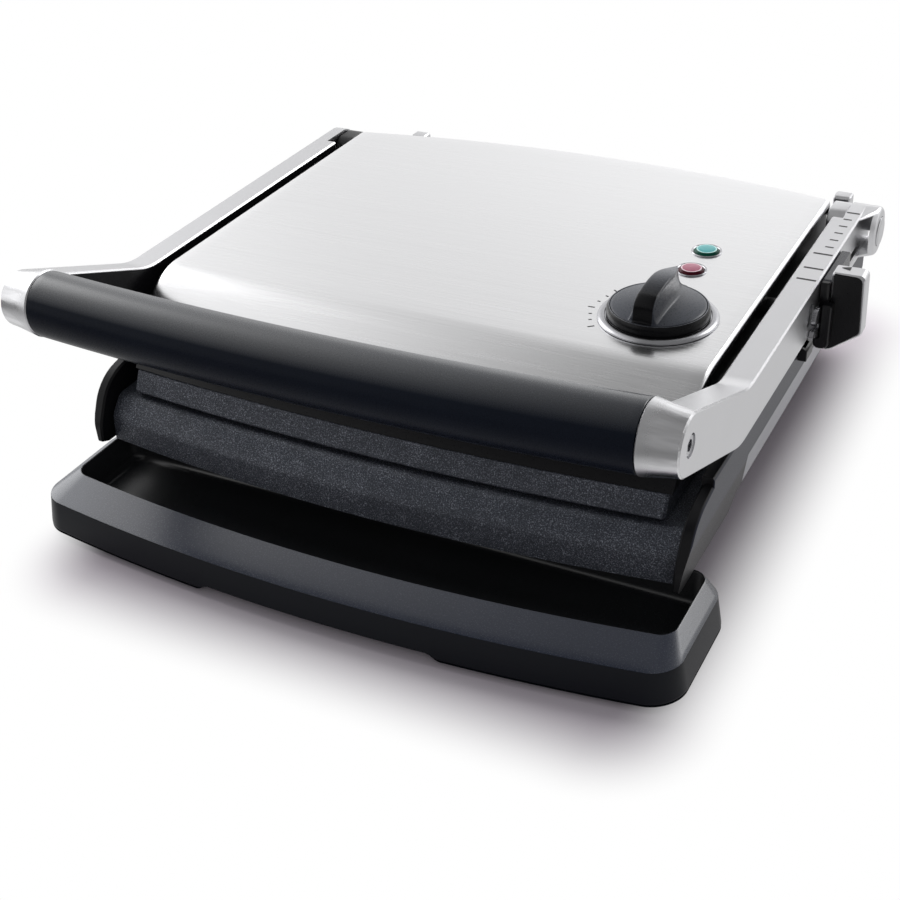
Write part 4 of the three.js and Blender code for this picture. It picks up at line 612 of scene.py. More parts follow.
@dataclass
class Patchwork:
    """Grids of points, in millimetres on the drawing, that become one mesh."""

    points: list[Array] = field(default_factory=list)
    faces: list[Array] = field(default_factory=list)
    polygons: list[tuple[int, ...]] = field(default_factory=list)
    zones: list[Array] = field(default_factory=list)
    cap_zones: list[float] = field(default_factory=list)
    count: int = 0

    def grid(self, points: Array, wrap: bool = False, zone: float | Array = 0.0) -> Array:
        """Add a grid of points with a face in each cell.

        Args:
            points: Rows, columns and three coordinates.
            wrap: Whether the last column joins the first.
            zone: Zone of the finish on these faces, one for all or one for each row and column of them.

        Returns:
            The number of each point, in rows and columns.
        """
        rows, columns = points.shape[:2]
        number = self.count + np.arange(rows * columns).reshape(rows, columns)
        wide = np.concatenate([number, number[:, :1]], 1) if wrap else number
        cells = np.stack([wide[:-1, :-1], wide[:-1, 1:], wide[1:, 1:], wide[1:, :-1]], -1)
        self.points.append(points.reshape(-1, 3))
        self.count += rows * columns
        self.add_faces(cells.reshape(-1, 4), np.broadcast_to(zone, cells.shape[:2]).reshape(-1))
        return number

    def add_faces(self, faces: Array, zone: float | Array = 0.0) -> None:
        """Add four-sided faces between numbered points."""
        self.faces.append(faces)
        self.zones.append(np.zeros(len(faces)) + zone)

    def cap(self, ring: Array, zone: float = 0.0) -> None:
        """Close a ring of numbered points with one face."""
        self.polygons.append(tuple(int(i) for i in ring))
        self.cap_zones.append(zone)

    def block(self, low: Corner, high: Corner, ease: float) -> None:
        """Add a block with eased edges: four rings, the outer two drawn in by the ease."""
        insets = np.array([ease, 0.0, 0.0, ease])
        heights = np.array([low[2], low[2] + ease, high[2] - ease, high[2]])
        x = np.stack([low[0] + insets, high[0] - insets, high[0] - insets, low[0] + insets], 1)
        y = np.stack([low[1] + insets, low[1] + insets, high[1] - insets, high[1] - insets], 1)
        z = np.broadcast_to(heights[:, None], x.shape)
        number = self.grid(np.stack([x, y, z], -1), wrap=True)
        self.cap(number[0])
        self.cap(number[-1])

    def plate(self, corners: Array, levels: Pair) -> None:
        """Add a flat plate with upright sides, from its corners in plan and the heights of its faces."""
        rings = [np.column_stack([corners, np.full(len(corners), level)]) for level in levels]
        number = self.grid(np.stack(rings), wrap=True)
        self.cap(number[0])
        self.cap(number[-1])

    def object(self, name: str, sharp: float = 32.0) -> bpy.types.Object:
        """Make the mesh object.

        Args:
            name: Name of the piece.
            sharp: Degrees past which an edge stays crisp.

        Returns:
            The object, at the origin, with merged doubles and faces that point outwards.
        """
        places = (np.concatenate(self.points) * MM) + DATUM.offset
        quads = [tuple(face) for face in np.concatenate(self.faces).tolist()]
        mesh = bpy.data.meshes.new(name)
        mesh.from_pydata(places.tolist(), [], quads + self.polygons)
        layer = mesh.attributes.new("zone", "FLOAT", "FACE")
        layer.data.foreach_set("value", np.concatenate([*self.zones, np.array(self.cap_zones)]))
        work = bmesh.new()
        work.from_mesh(mesh)
        bmesh.ops.remove_doubles(work, verts=work.verts, dist=CROWDED)
        bmesh.ops.dissolve_degenerate(work, dist=CROWDED, edges=work.edges)
        bmesh.ops.recalc_face_normals(work, faces=work.faces)
        work.to_mesh(mesh)
        work.free()
        mesh.shade_smooth()
        mesh.set_sharp_from_angle(angle=math.radians(sharp))
        made = bpy.data.objects.new(name, mesh)
        bpy.context.scene.collection.objects.link(made)
        return made


@dataclass(frozen=True)
class Datum:
    """Where the drawing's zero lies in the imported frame, in metres."""

    offset: Array

    @classmethod
    def from_frame(cls) -> "Datum":
        """Find it from the lid's middle and the right hinge pin.

        Returns:
            The datum. On the drawing the lid is centred on x = 0.
        """
        lid_low, lid_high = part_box("lid_cover")
        pin_low, pin_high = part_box("hinge_pin_right")
        hinge = (pin_low.y + pin_high.y) / 2
        return cls(np.array([(lid_low.x + lid_high.x) / 2, hinge - HINGE_Y * MM, 0.0]))


DATUM = Datum.from_frame()


def turned(profile: Array, centre: Corner, sides: int = 96) -> Array:
    """Points of a profile turned round an upright axis.

    A profile point at radius r and height h goes to the centre plus r cos(a) along x, r sin(a) along y and
    h along z, for angles a that go once round.

    Args:
        profile: Radius and height in each row.
        centre: Place of the axis.
        sides: Points round the axis.

    Returns:
        Rows along the profile, columns round the axis.
    """
    angle = np.linspace(0, 2 * math.pi, sides, endpoint=False)
    x, y = profile[:, :1] * np.cos(angle), profile[:, :1] * np.sin(angle)
    return np.stack([x, y, np.broadcast_to(profile[:, 1:], x.shape)], -1) + np.array(centre, float)


@dataclass
class Workshop:
    """Finishes, modifiers and bookkeeping that every sub-assembly shares."""

    palette: Palette = field(default_factory=Palette)
    smoother: bpy.types.NodeTree = field(init=False)

    def __post_init__(self) -> None:
        """Make the node group that shades a mesh smooth, apart from its steep edges."""
        group = bpy.data.node_groups.new("smooth by angle", "GeometryNodeTree")
        group.interface.new_socket("Geometry", in_out="INPUT", socket_type="NodeSocketGeometry")
        group.interface.new_socket("Geometry", in_out="OUTPUT", socket_type="NodeSocketGeometry")
        source = group.nodes.new("NodeGroupInput")
        angle = group.nodes.new("GeometryNodeInputMeshEdgeAngle")
        steep = group.nodes.new("ShaderNodeMath")
        steep.operation = "GREATER_THAN"
        steep.inputs[1].default_value = math.radians(SHARP_ANGLE)
        edges = group.nodes.new("GeometryNodeSetShadeSmooth")
        edges.domain = "EDGE"
        edges.inputs["Shade Smooth"].default_value = False
        smooth = group.nodes.new("GeometryNodeSetShadeSmooth")
        target = group.nodes.new("NodeGroupOutput")
        group.links.new(angle.outputs["Unsigned Angle"], steep.inputs[0])
        group.links.new(steep.outputs[0], edges.inputs["Selection"])
        group.links.new(source.outputs[0], smooth.inputs["Geometry"])
        group.links.new(smooth.outputs[0], edges.inputs["Geometry"])
        group.links.new(edges.outputs[0], target.inputs[0])
        self.smoother = group

    def dress_node(self, name: str, slot: Slot | Finish) -> None:
        """Give a node of the frame its finish and smooth shading.

        Corners that coincide become one, edges past the sharp angle stay crisp, and large faces keep
        their own normals, so that only the eased edges turn the light.

        Args:
            name: The node.
            slot: Its slot, or a finish of its own.
        """
        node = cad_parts[name]
        finish = self.palette.slot(slot) if isinstance(slot, Slot) else self.palette.of(slot)
        node.material_slots[0].material = finish
        self.smooth(node)
        LOG.info("node %s dressed as %s", name, finish.name)

    def smooth(self, node: bpy.types.Object) -> None:
        """Shade a mesh of the frame, or one made from it, smooth between its steep edges."""
        weld = node.modifiers.new("join corners", "WELD")
        weld.merge_threshold = CROWDED
        smooth = node.modifiers.new("smooth", "NODES")
        smooth.node_group = self.smoother
        weighted = node.modifiers.new("normals", "WEIGHTED_NORMAL")
        weighted.mode = "FACE_AREA"
        weighted.weight = AREA_WEIGHT
        weighted.keep_sharp = True

    def soften(self, piece: bpy.types.Object, edge: float) -> None:
        """Round a piece's crisp edges by a width in millimetres."""
        bevel = piece.modifiers.new("edges", "BEVEL")
        bevel.width = edge * MM
        bevel.segments = EASE_STRIPS
        bevel.limit_method = "ANGLE"
        bevel.angle_limit = math.radians(EASE_ANGLE)
        bevel.harden_normals = True
        bevel.miter_outer = "MITER_ARC"

    def finish_piece(
        self, piece: bpy.types.Object, body: Body, slot: Slot, finish: Finish | None = None,
        replaced: Sequence[str] = (),
    ) -> None:
        """Dress a new piece, put it on its body and hide the nodes of the frame that it stands for.

        Args:
            piece: The piece.
            body: The body it rides on.
            slot: The record's slot it takes its finish from.
            finish: A finish of its own, if it differs from the slot's.
            replaced: Nodes of the frame that it stands for.
        """
        piece.data.materials.append(self.palette.of(finish) if finish else self.palette.slot(slot))
        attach(piece, body.value)
        if replaced:
            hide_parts(*replaced)
        LOG.info("piece %s rides on %s, %d faces", piece.name, body.value, len(piece.data.polygons))


# ---------------------------------------------------------------------------------------------------------
# Sub-assemblies
# ---------------------------------------------------------------------------------------------------------


@dataclass
class TopHousing:
    """The lid with its controls, the frame under it and the upper plate."""

    shop: Workshop
    half_width: float = 150.0
    top: float = 113.0
    sheet: float = 1.2
    flange: float = 3.8
    edge_radius: float = 2.6
    rear_hem: float = 104.0
    front_hem: float = 88.0
    roll_corner: float = -219.0
    roll_radius: float = 32.0
    slope: float = 53.0
    front_bow: float = 7.0
    rear_bow: float = 15.0
    frame_bottom: float = 70.5
    rear_radius: float = 4.0
    hem_ease: float = 0.25
    step_along: float = 8.0
    step_across: float = 6.0
    lamp_x: float = 108.5
    lamp_y: Pair = (-91.0, -115.0)
    lens_face: tuple[Pair, ...] = ((0.0, 1.95), (1.6, 1.92), (3.2, 1.83), (4.2, 1.72), (4.65, 1.62))
    lens_edge: tuple[Pair, ...] = ((4.65, 1.62), (4.95, 1.66), (5.3, 1.55))
    lens_side: tuple[Pair, ...] = (
        (5.3, 1.55), (5.8, 1.2), (6.3, 0.7), (6.55, 0.3), (6.6, 0.1), (6.3, 0.0), (6.3, -4.0), (0.0, -4.0),
    )
    bezel_profile: tuple[Pair, ...] = (
        (6.7, 0.05), (7.8, 0.05), (7.9, 0.3), (7.8, 0.6), (7.55, 0.68), (7.25, 0.6), (6.95, 0.4), (6.8, 0.25),
        (6.7, 0.05),
    )

    def bow(self, y: Array) -> Array:
        """How far the middle of the width stands out at each station y.

        It grows in proportion to the distance from the middle of the depth, up to the rear bow behind it
        and to the front bow ahead of it.
        """
        middle = self.roll_corner / 2
        front = self.roll_corner - (self.top - self.frame_bottom) / math.tan(math.radians(self.slope))
        behind = self.rear_bow * (y - middle) / -middle
        ahead = -self.front_bow * (middle - y) / (middle - front)
        return np.where(y > middle, behind, ahead)

    def lid(self) -> bpy.types.Object:
        """The folded sheet of the lid.

        A side profile runs up the rear hem, along the flat top, round the roll and down the slope. It is
        carried across the width, and near each side it sinks along its own normal by the depth of a
        quarter circle and then of a flange. The y of each point moves by bow(y) times one minus the square
        of its share of the half width.
        """
        run = self.top - self.front_hem
        front = self.roll_corner - run / math.tan(math.radians(self.slope))
        corners = [
            (0.0, self.rear_hem, 0.0),
            (0.0, self.top, self.rear_radius),
            (self.roll_corner, self.top, self.roll_radius),
            (front, self.front_hem, 0.0),
        ]
        profile = divided(rounded(corners, pieces=20), self.step_along)
        inwards = normals_of(profile)
        radius = self.edge_radius
        edge = rounded(
            [(self.half_width, self.flange, 0), (self.half_width, 0, radius), (-self.half_width, 0, radius),
             (-self.half_width, self.flange, 0)],
            pieces=8,
        )
        outer = divided(edge, self.step_across)
        share = (self.half_width - self.sheet) / self.half_width
        sunk = np.minimum(outer[:, 1] + self.sheet, self.flange)
        inner = np.stack([outer[:, 0] * share, sunk], 1)[::-1]
        loop = np.concatenate([outer, inner])
        x = np.broadcast_to(loop[:, 0], (len(profile), len(loop)))
        y = profile[:, :1] + inwards[:, :1] * loop[:, 1]
        z = profile[:, 1:] + inwards[:, 1:] * loop[:, 1]
        y = y + self.bow(y) * (1 - (x / self.half_width) ** 2)
        work = Patchwork()
        number = work.grid(np.stack([x, y, z], -1), wrap=True)
        count = len(outer)
        for row in (number[0], number[-1]):
            first, second = row[:count], row[count:][::-1]
            work.add_faces(np.stack([first[:-1], first[1:], second[1:], second[:-1]], -1))
        return work.object("lid_sheet", sharp=40.0)

    def build(self) -> None:
        """Make and dress every piece of the top housing."""
        lid = self.lid()
        self.shop.soften(lid, self.hem_ease)
        self.shop.finish_piece(lid, Body.HOUSING, Slot.LID, replaced=["lid_cover"])
        for name, slot, y in (("power", Slot.GREEN, self.lamp_y[0]), ("ready", Slot.RED, self.lamp_y[1])):
            lens = self.lens(f"{name}_lamp_lens", y)
            self.shop.finish_piece(lens, Body.HOUSING, slot, replaced=[f"{name}_lens"])
            bezel = self.bezel(f"{name}_lamp_bezel", y)
            self.shop.finish_piece(
                bezel, Body.HOUSING, Slot.TRIM, finish=POLISHED, replaced=[f"{name}_bezel"]
            )
        for name, slot in (
            ("top_frame", Slot.BLACK),
            ("upper_plate", Slot.PLATE),
            ("upper_heating_element", Slot.ELEMENT),
            ("upper_reflector", Slot.STEEL),
            ("thermostat", Slot.CERAMIC),
            ("knob_shaft", Slot.STEEL),
        ):
            self.shop.dress_node(name, slot)

    def lens(self, name: str, y: float) -> bpy.types.Object:
        """A lamp's lens: a low button turned round an upright axis, with an eased edge and a slight dome."""
        work = Patchwork()
        # one coloured lens in three tones: the face, the eased edge palest as a painted highlight, the side
        # darkest as painted shade
        for profile, zone in ((self.lens_face, 1.0), (self.lens_edge, 2.0), (self.lens_side, 0.0)):
            raised = np.array(profile) + [0.0, self.top]
            work.grid(turned(raised, (self.lamp_x, y, 0.0)), wrap=True, zone=zone)
        return work.object(name, sharp=70.0)

    def bezel(self, name: str, y: float) -> bpy.types.Object:
        """A lamp's bezel: a thin dished ring turned round an upright axis."""
        work = Patchwork()
        raised = np.array(self.bezel_profile) + [0.0, self.top]
        work.grid(turned(raised, (self.lamp_x, y, 0.0)), wrap=True)
        return work.object(name, sharp=60.0)


@dataclass
class HeatKnob:
    """The temperature knob, the ring that it sits in and the ticks beside it."""

    shop: Workshop
    centre: Corner = (110.5, -169.0, 0.0)
    turn: float = -1.0
    rim: float = 22.9
    foot: float = 114.4
    rim_height: float = 119.9
    dome_rise: float = 2.8
    crest: float = 134.0
    reach: float = 24.1
    lid_top: float = 113.0
    rows: int = 200
    band: float = 4.9
    band_least: float = 0.55
    taper_start: float = 4.0
    taper_length: float = 20.5
    taper_power: float = 1.8
    crown: float = 0.25
    corner_drop: float = 0.4
    corner_power: int = 14
    flank_least: float = 2.6
    flank_gain: float = 5.4
    flank_growth: float = 1.6
    wall_share: float = 0.78
    wall_growth: float = 1.5
    wall_power: int = 14
    fillet_power: float = 2.2
    fillet_gain: float = 1.8
    fall_start: float = 0.8
    fall_length: float = 0.9
    trace: float = 0.02
    foot_most: float = 0.97
    half_most: float = 0.7
    # how far across the grip's back its tones reach, then where its painted highlight starts, how long it
    # grows and how pale it gets
    painted: float = 0.98
    highlight_start: float = -16.0
    highlight_length: float = 22.0
    highlight_most: float = 1.45
    shoulder: tuple[Pair, ...] = (
        (22.9, 0.0), (22.98, -0.08), (23.05, -0.5), (23.2, -0.62), (23.35, -0.5), (23.42, -0.12),
        (23.6, -0.02), (23.8, -0.08), (24.1, -0.4), (24.5, -1.1), (24.85, -1.9), (25.0, -2.7),
    )
    # zones of the shoulder's faces: the rim's crest palest, a painted highlight; the groove and the skirt
    # darkest, painted shade
    shoulder_zones: tuple[float, ...] = (1.0, 0.0, 0.0, 0.0, 1.2, 2.0, 2.0)
    underside: tuple[Pair, ...] = ((25.0, 0.6), (24.9, 0.2), (24.6, 0.0), (3.3, 0.0), (3.3, 8.6), (0.0, 8.6))
    ring_profile: tuple[Pair, ...] = (
        (21.2, 0.3), (29.2, 0.3), (29.25, 0.6), (29.0, 1.0), (28.5, 1.4), (27.8, 1.75), (27.0, 1.95),
        (26.2, 2.0), (25.75, 1.9), (25.6, 1.6), (25.6, 1.1), (21.2, 1.1), (21.2, 0.3),
    )
    ring_sides: int = 160
    tick_start: float = 31.8
    tick_half: float = 0.42
    tick_levels: Pair = (-0.1, 0.06)
    ticks_at: tuple[Pair, ...] = (
        (219.0, 3.4), (207.0, 1.6), (196.0, 1.6), (184.0, 3.4), (172.0, 1.6), (160.0, 1.6), (148.0, 3.4),
        (96.0, 3.0),
    )

    def arch(self, y: Array) -> Array:
        """Height of the grip's back at each place y along it, from an outline with rounded corners."""
        reach, foot, crest = self.reach, self.foot, self.crest
        outline = rounded([
            (-reach - 1, foot + 0.4, 0),
            (-reach + 2.8, foot + 6.5, 5),
            (-reach + 4, crest - 2.6, 7),
            (3, crest + 0.8, 60),
            (reach - 0.4, crest - 4.6, 0),
        ], pieces=24)
        return np.interp(y, outline[:, 0], outline[:, 1])

    def dome(self, r: Array) -> Array:
        """Height of the disc: the rim's, plus a rise that shrinks with the square of the radius."""
        return self.rim_height + self.dome_rise * np.clip(1 - (r / self.rim) ** 2, 0, 1)

    def along(self, y: Array) -> Array:
        """Share of the way from the rim's front to its rear."""
        return np.clip((y + self.rim) / (2 * self.rim), 0, 1)

    def band_half(self, y: Array) -> Array:
        """Half width of the grip's back, which narrows by a power towards the rear tip."""
        taper = np.clip((y - self.taper_start) / self.taper_length, 0, 1)
        return np.maximum(self.band_least, self.band * (1 - taper**self.taper_power))

    def flank_width(self, y: Array) -> Array:
        """Width of a flank from the back's edge to its foot, which grows by a power towards the rear."""
        return self.flank_least + self.flank_gain * self.along(y) ** self.flank_growth

    def surface(self, x: Array, y: Array) -> Array:
        """Height of the knob's top.

        Across the band the grip follows the arch, a little crowned. Beyond it the height over the disc
        falls as a power of one minus the share of the way from the band's edge to the flank's foot, and
        towards the rear more of it is a second, steeper power. Outside the rim the rear end falls away
        over a smooth step, and nothing lies below the disc.
        """
        r, along, half = np.hypot(x, y), self.along(y), self.band_half(y)
        share = np.abs(x) / half
        flank = np.clip((np.abs(x) - half) / self.flank_width(y), 0, 1)
        corner = self.corner_drop * np.clip(share, 0, 1) ** self.corner_power
        ease = np.where(share < 1, self.crown * share**2 + corner, self.crown + self.corner_drop)
        disc = self.dome(r)
        height = np.clip(self.arch(y) - ease - disc, 0, None)
        steep = self.wall_share * along**self.wall_growth
        fillet = (1 - flank) ** (self.fillet_power + self.fillet_gain * along)
        grip = height * (steep * (1 - flank) ** self.wall_power + (1 - steep) * fillet)
        fall = smooth_step(np.clip((r - self.rim - self.fall_start) / self.fall_length, 0, 1))
        return disc + grip * (1 - np.where(y > 0, fall, 0))

    def disc_grid(self, angle: Array) -> tuple[Array, Array]:
        """Places across and along the grip for the knob's top.

        Rows lie at -cos(a) of the rim along the grip, for each angle a, and their ends lie on the rim. The
        columns gather at the band's edges and at the feet of the flanks.
        """
        y, chord = -self.rim * np.cos(angle), self.rim * np.sin(angle)
        half = self.band_half(y)
        foot = np.minimum(half + self.flank_width(y), self.foot_most * chord)
        half = np.minimum(half, self.half_most * foot)
        over_band = np.array([0, 0.25, 0.5, 0.7, 0.84, 0.92, 0.97, 1.0])
        down_flank = np.linspace(0, 1, 15)[1:] ** 1.5
        over_disc = np.linspace(0, 1, 9)[1:]
        right = np.concatenate([
            half[:, None] * over_band,
            half[:, None] + (foot - half)[:, None] * down_flank,
            foot[:, None] + (chord - foot)[:, None] * over_disc,
        ], 1)
        x = np.concatenate([-right[:, :0:-1], right], 1)
        return x, np.broadcast_to(y[:, None], x.shape)

    def top_zones(self, x: Array, y: Array) -> Array:
        """Zone of each face of the top: the disc is one tone, and the grip's back is darkest at its front,
        painted shade, and grows paler rearwards, a painted highlight.
        """
        middle_x, middle_y = (0.25 * (a[:-1, :-1] + a[1:, :-1] + a[:-1, 1:] + a[1:, 1:]) for a in (x, y))
        on_band = np.abs(middle_x) < self.painted * self.band_half(middle_y)
        # painted highlight growing rearwards from the painted shade at the front
        pale = np.clip((middle_y - self.highlight_start) / self.highlight_length, 0, self.highlight_most)
        return np.where(on_band, pale, 1.0)

    def body(self) -> bpy.types.Object:
        """The knob as one closed mesh.

        The top is a grid inside the rim. From the ends of its rows, rings carry on over the groove, the
        skirt and the bore.
        """
        angle = np.linspace(0, math.pi, self.rows + 1)
        x, y = self.disc_grid(angle)
        work = Patchwork()
        work.grid(self.placed(x, y, self.surface(x, y)), zone=self.top_zones(x, y))
        loop = np.concatenate([angle - math.pi / 2, (angle + math.pi / 2)[1:-1]])
        shoulder, underside = np.array(self.shoulder), np.array(self.underside)
        radius, drop = shoulder[:, :1], shoulder[:, 1:]
        x, y = radius * np.cos(loop), radius * np.sin(loop)
        height = self.rim_height + drop
        surface = self.surface(x, y)
        height = np.where(surface - self.dome(radius) > self.trace, np.maximum(height, surface), height)
        x = np.concatenate([x, underside[:, :1] * np.cos(loop)])
        y = np.concatenate([y, underside[:, :1] * np.sin(loop)])
        low = np.broadcast_to(self.foot + underside[:, 1:], (len(underside), len(loop)))
        zones = np.zeros(len(x) - 1)
        zones[:len(self.shoulder_zones)] = self.shoulder_zones
        height = np.concatenate([height, low])
        work.grid(self.placed(x, y, height), wrap=True, zone=zones[:, None])
        return work.object("heat_knob", sharp=50.0)

    def placed(self, x: Array, y: Array, z: Array) -> Array:
        """Points of the knob turned by its angle and moved to its centre."""
        turn = math.radians(self.turn)
        across = self.centre[0] + x * math.cos(turn) - y * math.sin(turn)
        along = self.centre[1] + x * math.sin(turn) + y * math.cos(turn)
        return np.stack([across, along, z], -1)

    def ring(self) -> bpy.types.Object:
        """The ring round the knob, a low rounded profile turned round the knob's axis."""
        work = Patchwork()
        raised = np.array(self.ring_profile) + [0.0, self.lid_top]
        work.grid(turned(raised, self.centre, self.ring_sides), wrap=True)
        return work.object("knob_seat_ring", sharp=50.0)

    def ticks(self) -> bpy.types.Object:
        """Printed ticks on the lid: thin plates that start on a circle round the knob and point outwards."""
        work = Patchwork()
        centre = np.array(self.centre[:2])
        levels = (self.lid_top + self.tick_levels[0], self.lid_top + self.tick_levels[1])
        for degrees, length in self.ticks_at:
            angle = math.radians(degrees)
            outward = np.array([math.cos(angle), math.sin(angle)])
            side = np.array([-outward[1], outward[0]]) * self.tick_half
            near, far = centre + outward * self.tick_start, centre + outward * (self.tick_start + length)
            work.plate(np.array([near - side, near + side, far + side, far - side]), levels)
        return work.object("scale_ticks")

    def build(self) -> None:
        """Make and dress the knob, its ring and its ticks."""
        self.shop.finish_piece(self.body(), Body.KNOB, Slot.KNOB, replaced=["temperature_knob"])
        self.shop.finish_piece(self.ring(), Body.HOUSING, Slot.STEEL, finish=POLISHED, replaced=["knob_ring"])
        self.shop.finish_piece(self.ticks(), Body.HOUSING, Slot.BLACK)


@dataclass
class LiftingArms:
    """The two arms, the handle between them and the height marks."""

    shop: Workshop
    handle_y: float = -297.0
    handle_z: float = 130.1
    grip_radius: float = 16.2
    grip_half: float = 152.3
    grip_bow: float = 6.4
    bow_half: float = 152.6
    arm_rise: float = 21.8
    arm_end: float = 13.8
    cap_profile: tuple[Corner, ...] = (
        (153.3, 16.49, 16.49), (159.6, 16.3, 15.35), (165.1, 15.5, 14.35), (169.9, 13.8, 13.8)
    )
    cap_slack: float = 0.12
    flat_slack: float = 0.02
    grip_ease: float = 0.6
    pole: float = 0.02
    low_mark: float = -71.5
    high_mark: float = -15.5
    other_marks: Pair = (-103.0, -89.5)
    mark_span: Pair = (159.3, 169.2)
    high_span: Pair = (162.6, 169.4)
    mark_width: float = 1.5
    tick_span: Pair = (162.9, 167.3)
    tick_width: float = 1.2
    tick_count: int = 5
    mark_levels: Pair = (112.0, 112.66)
    arrow_corners: tuple[Pair, ...] = ((178.9, -91.4), (183.3, -93.3), (183.3, -89.5))
    arrow_levels: Pair = (116.0, 116.68)

    def grip(self) -> bpy.types.Object:
        """The soft grip.

        A circle carried across the width along a centre line that stands forward by the bow times one
        minus the square of its share of the half length. Its radius shrinks over a quarter round at each
        end, and two poles close it.
        """
        ease = self.grip_ease
        turn = np.linspace(0, math.pi / 2, 7)
        start = np.stack([ease * (1 - np.cos(turn)), ease * (1 - np.sin(turn))], 1)
        whole = 2 * self.grip_half
        middle = np.linspace(ease, whole - ease, 90)[1:-1]
        along = np.concatenate([start[:, 0], middle, (whole - start[:, 0])[::-1]]) - self.grip_half
        shrink = np.concatenate([start[:, 1], np.zeros(len(middle)), start[::-1, 1]])
        radius = self.grip_radius - shrink
        poles = np.array([self.pole])
        along = np.concatenate([along[:1], along, along[-1:]])
        radius = np.concatenate([poles, radius, poles])
        angle = np.linspace(0, 2 * math.pi, 96, endpoint=False)
        centre = self.handle_y - self.grip_bow * (1 - (along / self.bow_half) ** 2)
        x = np.broadcast_to(along[:, None], (len(along), len(angle)))
        y = centre[:, None] + radius[:, None] * np.cos(angle)
        z = self.handle_z + radius[:, None] * np.sin(angle)
        work = Patchwork()
        number = work.grid(np.stack([x, y, z], -1), wrap=True)
        work.cap(number[0])
        work.cap(number[-1])
        return work.object("soft_grip", sharp=50.0)

    def hollowed(self, drawn: Array) -> tuple[Array, Array]:
        """Draw in the cap of an arm.

        A corner on the cap's surface goes from the cap's radius there to a smaller one, which falls fast at
        first and then levels out. Where the cap runs into the arm's top or bottom, its angle from the
        upright shrinks in the ratio of the angles at which a circle of the new and of the old radius cuts
        that flat, so the corner stays on the flat.

        Args:
            drawn: The arm's corners, in millimetres on the drawing.

        Returns:
            The corners in their new places, and for each whether it lies on the cap, clear of the flats.
        """
        across = np.abs(drawn[:, 0])
        rise = math.radians(self.arm_rise)
        ahead, up = drawn[:, 1] - self.handle_y, drawn[:, 2] - self.handle_z
        above = ahead * math.sin(rise) + up * math.cos(rise)
        behind = ahead * math.cos(rise) - up * math.sin(rise)
        radius, angle = np.hypot(above, behind), np.arctan2(behind, above)
        places, old, new = np.array(self.cap_profile).T
        before, after = np.interp(across, places, old), np.interp(across, places, new)
        on_cap = (np.abs(radius - before) < self.cap_slack) & (across > places[0]) & (across < places[-1])
        flat = np.arccos(np.clip(self.arm_end / np.stack([before, after]), -1, 1))
        ratio = flat[1] / np.maximum(flat[0], LEAST_ANGLE)
        low = math.pi - np.abs(angle)
        near_top = (angle > 0) & (angle < flat[0] + self.flat_slack)
        near_foot = (angle > 0) & (low < flat[0] + self.flat_slack)
        moved = np.where(near_top, angle * ratio, np.where(near_foot, math.pi - low * ratio, angle))
        above = np.where(on_cap, after * np.cos(moved), above)
        behind = np.where(on_cap, after * np.sin(moved), behind)
        y = self.handle_y + above * math.sin(rise) + behind * math.cos(rise)
        z = self.handle_z + above * math.cos(rise) - behind * math.sin(rise)
        beside_flat = (angle > flat[0] - self.flat_slack) & (low > flat[0] - self.flat_slack)
        return np.stack([drawn[:, 0], y, z], 1), on_cap & ~beside_flat

    def casting(self, side: str) -> bpy.types.Object:
        """An arm with a hollowed cap, made from a copy of the arm.

        Args:
            side: "right" or "left".

        Returns:
            The arm.
        """
        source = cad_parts[f"arm_{side}"].data
        points = np.empty(3 * len(source.vertices))
        source.vertices.foreach_get("co", points)
        corners = np.empty(3 * len(source.polygons), dtype=np.int64)
        source.loops.foreach_get("vertex_index", corners)
        drawn, on_cap = self.hollowed((points.reshape(-1, 3) - DATUM.offset) / MM)
        mesh = bpy.data.meshes.new(f"cast_arm_{side}")
        mesh.from_pydata((drawn * MM + DATUM.offset).tolist(), [], corners.reshape(-1, 3).tolist())
        # the zone marks the caps, where the finish paints reflection bands into the colour
        zones = mesh.attributes.new("zone", "FLOAT", "POINT")
        zones.data.foreach_set("value", on_cap.astype(np.float32))
        arm = bpy.data.objects.new(f"cast_arm_{side}", mesh)
        bpy.context.scene.collection.objects.link(arm)
        self.shop.smooth(arm)
        return arm

    def marks(self) -> bpy.types.Object:
        """Dark paint in the marks cut in the right arm's top, each a low four-sided block."""
        pitch = (self.high_mark - self.low_mark) / (self.tick_count + 1)
        named = [(y, self.mark_span, self.mark_width) for y in (*self.other_marks, self.low_mark)]
        named.append((self.high_mark, self.high_span, self.mark_width))
        places = [self.low_mark + pitch * (i + 1) for i in range(self.tick_count)]
        ticks = [(y, self.tick_span, self.tick_width) for y in places]
        work = Patchwork()
        for y, (near, far), width in [*named, *ticks]:
            front, rear = y - width / 2, y + width / 2
            corners = np.array([[near, front], [far, front], [far, rear], [near, rear]])
            work.plate(corners, self.mark_levels)
        return work.object("height_marks")

    def arrow(self) -> bpy.types.Object:
        """A printed arrow on top of the slider's paddle: a thin three-cornered plate that points inwards."""
        work = Patchwork()
        work.plate(np.array(self.arrow_corners), self.arrow_levels)
        return work.object("paddle_arrow")

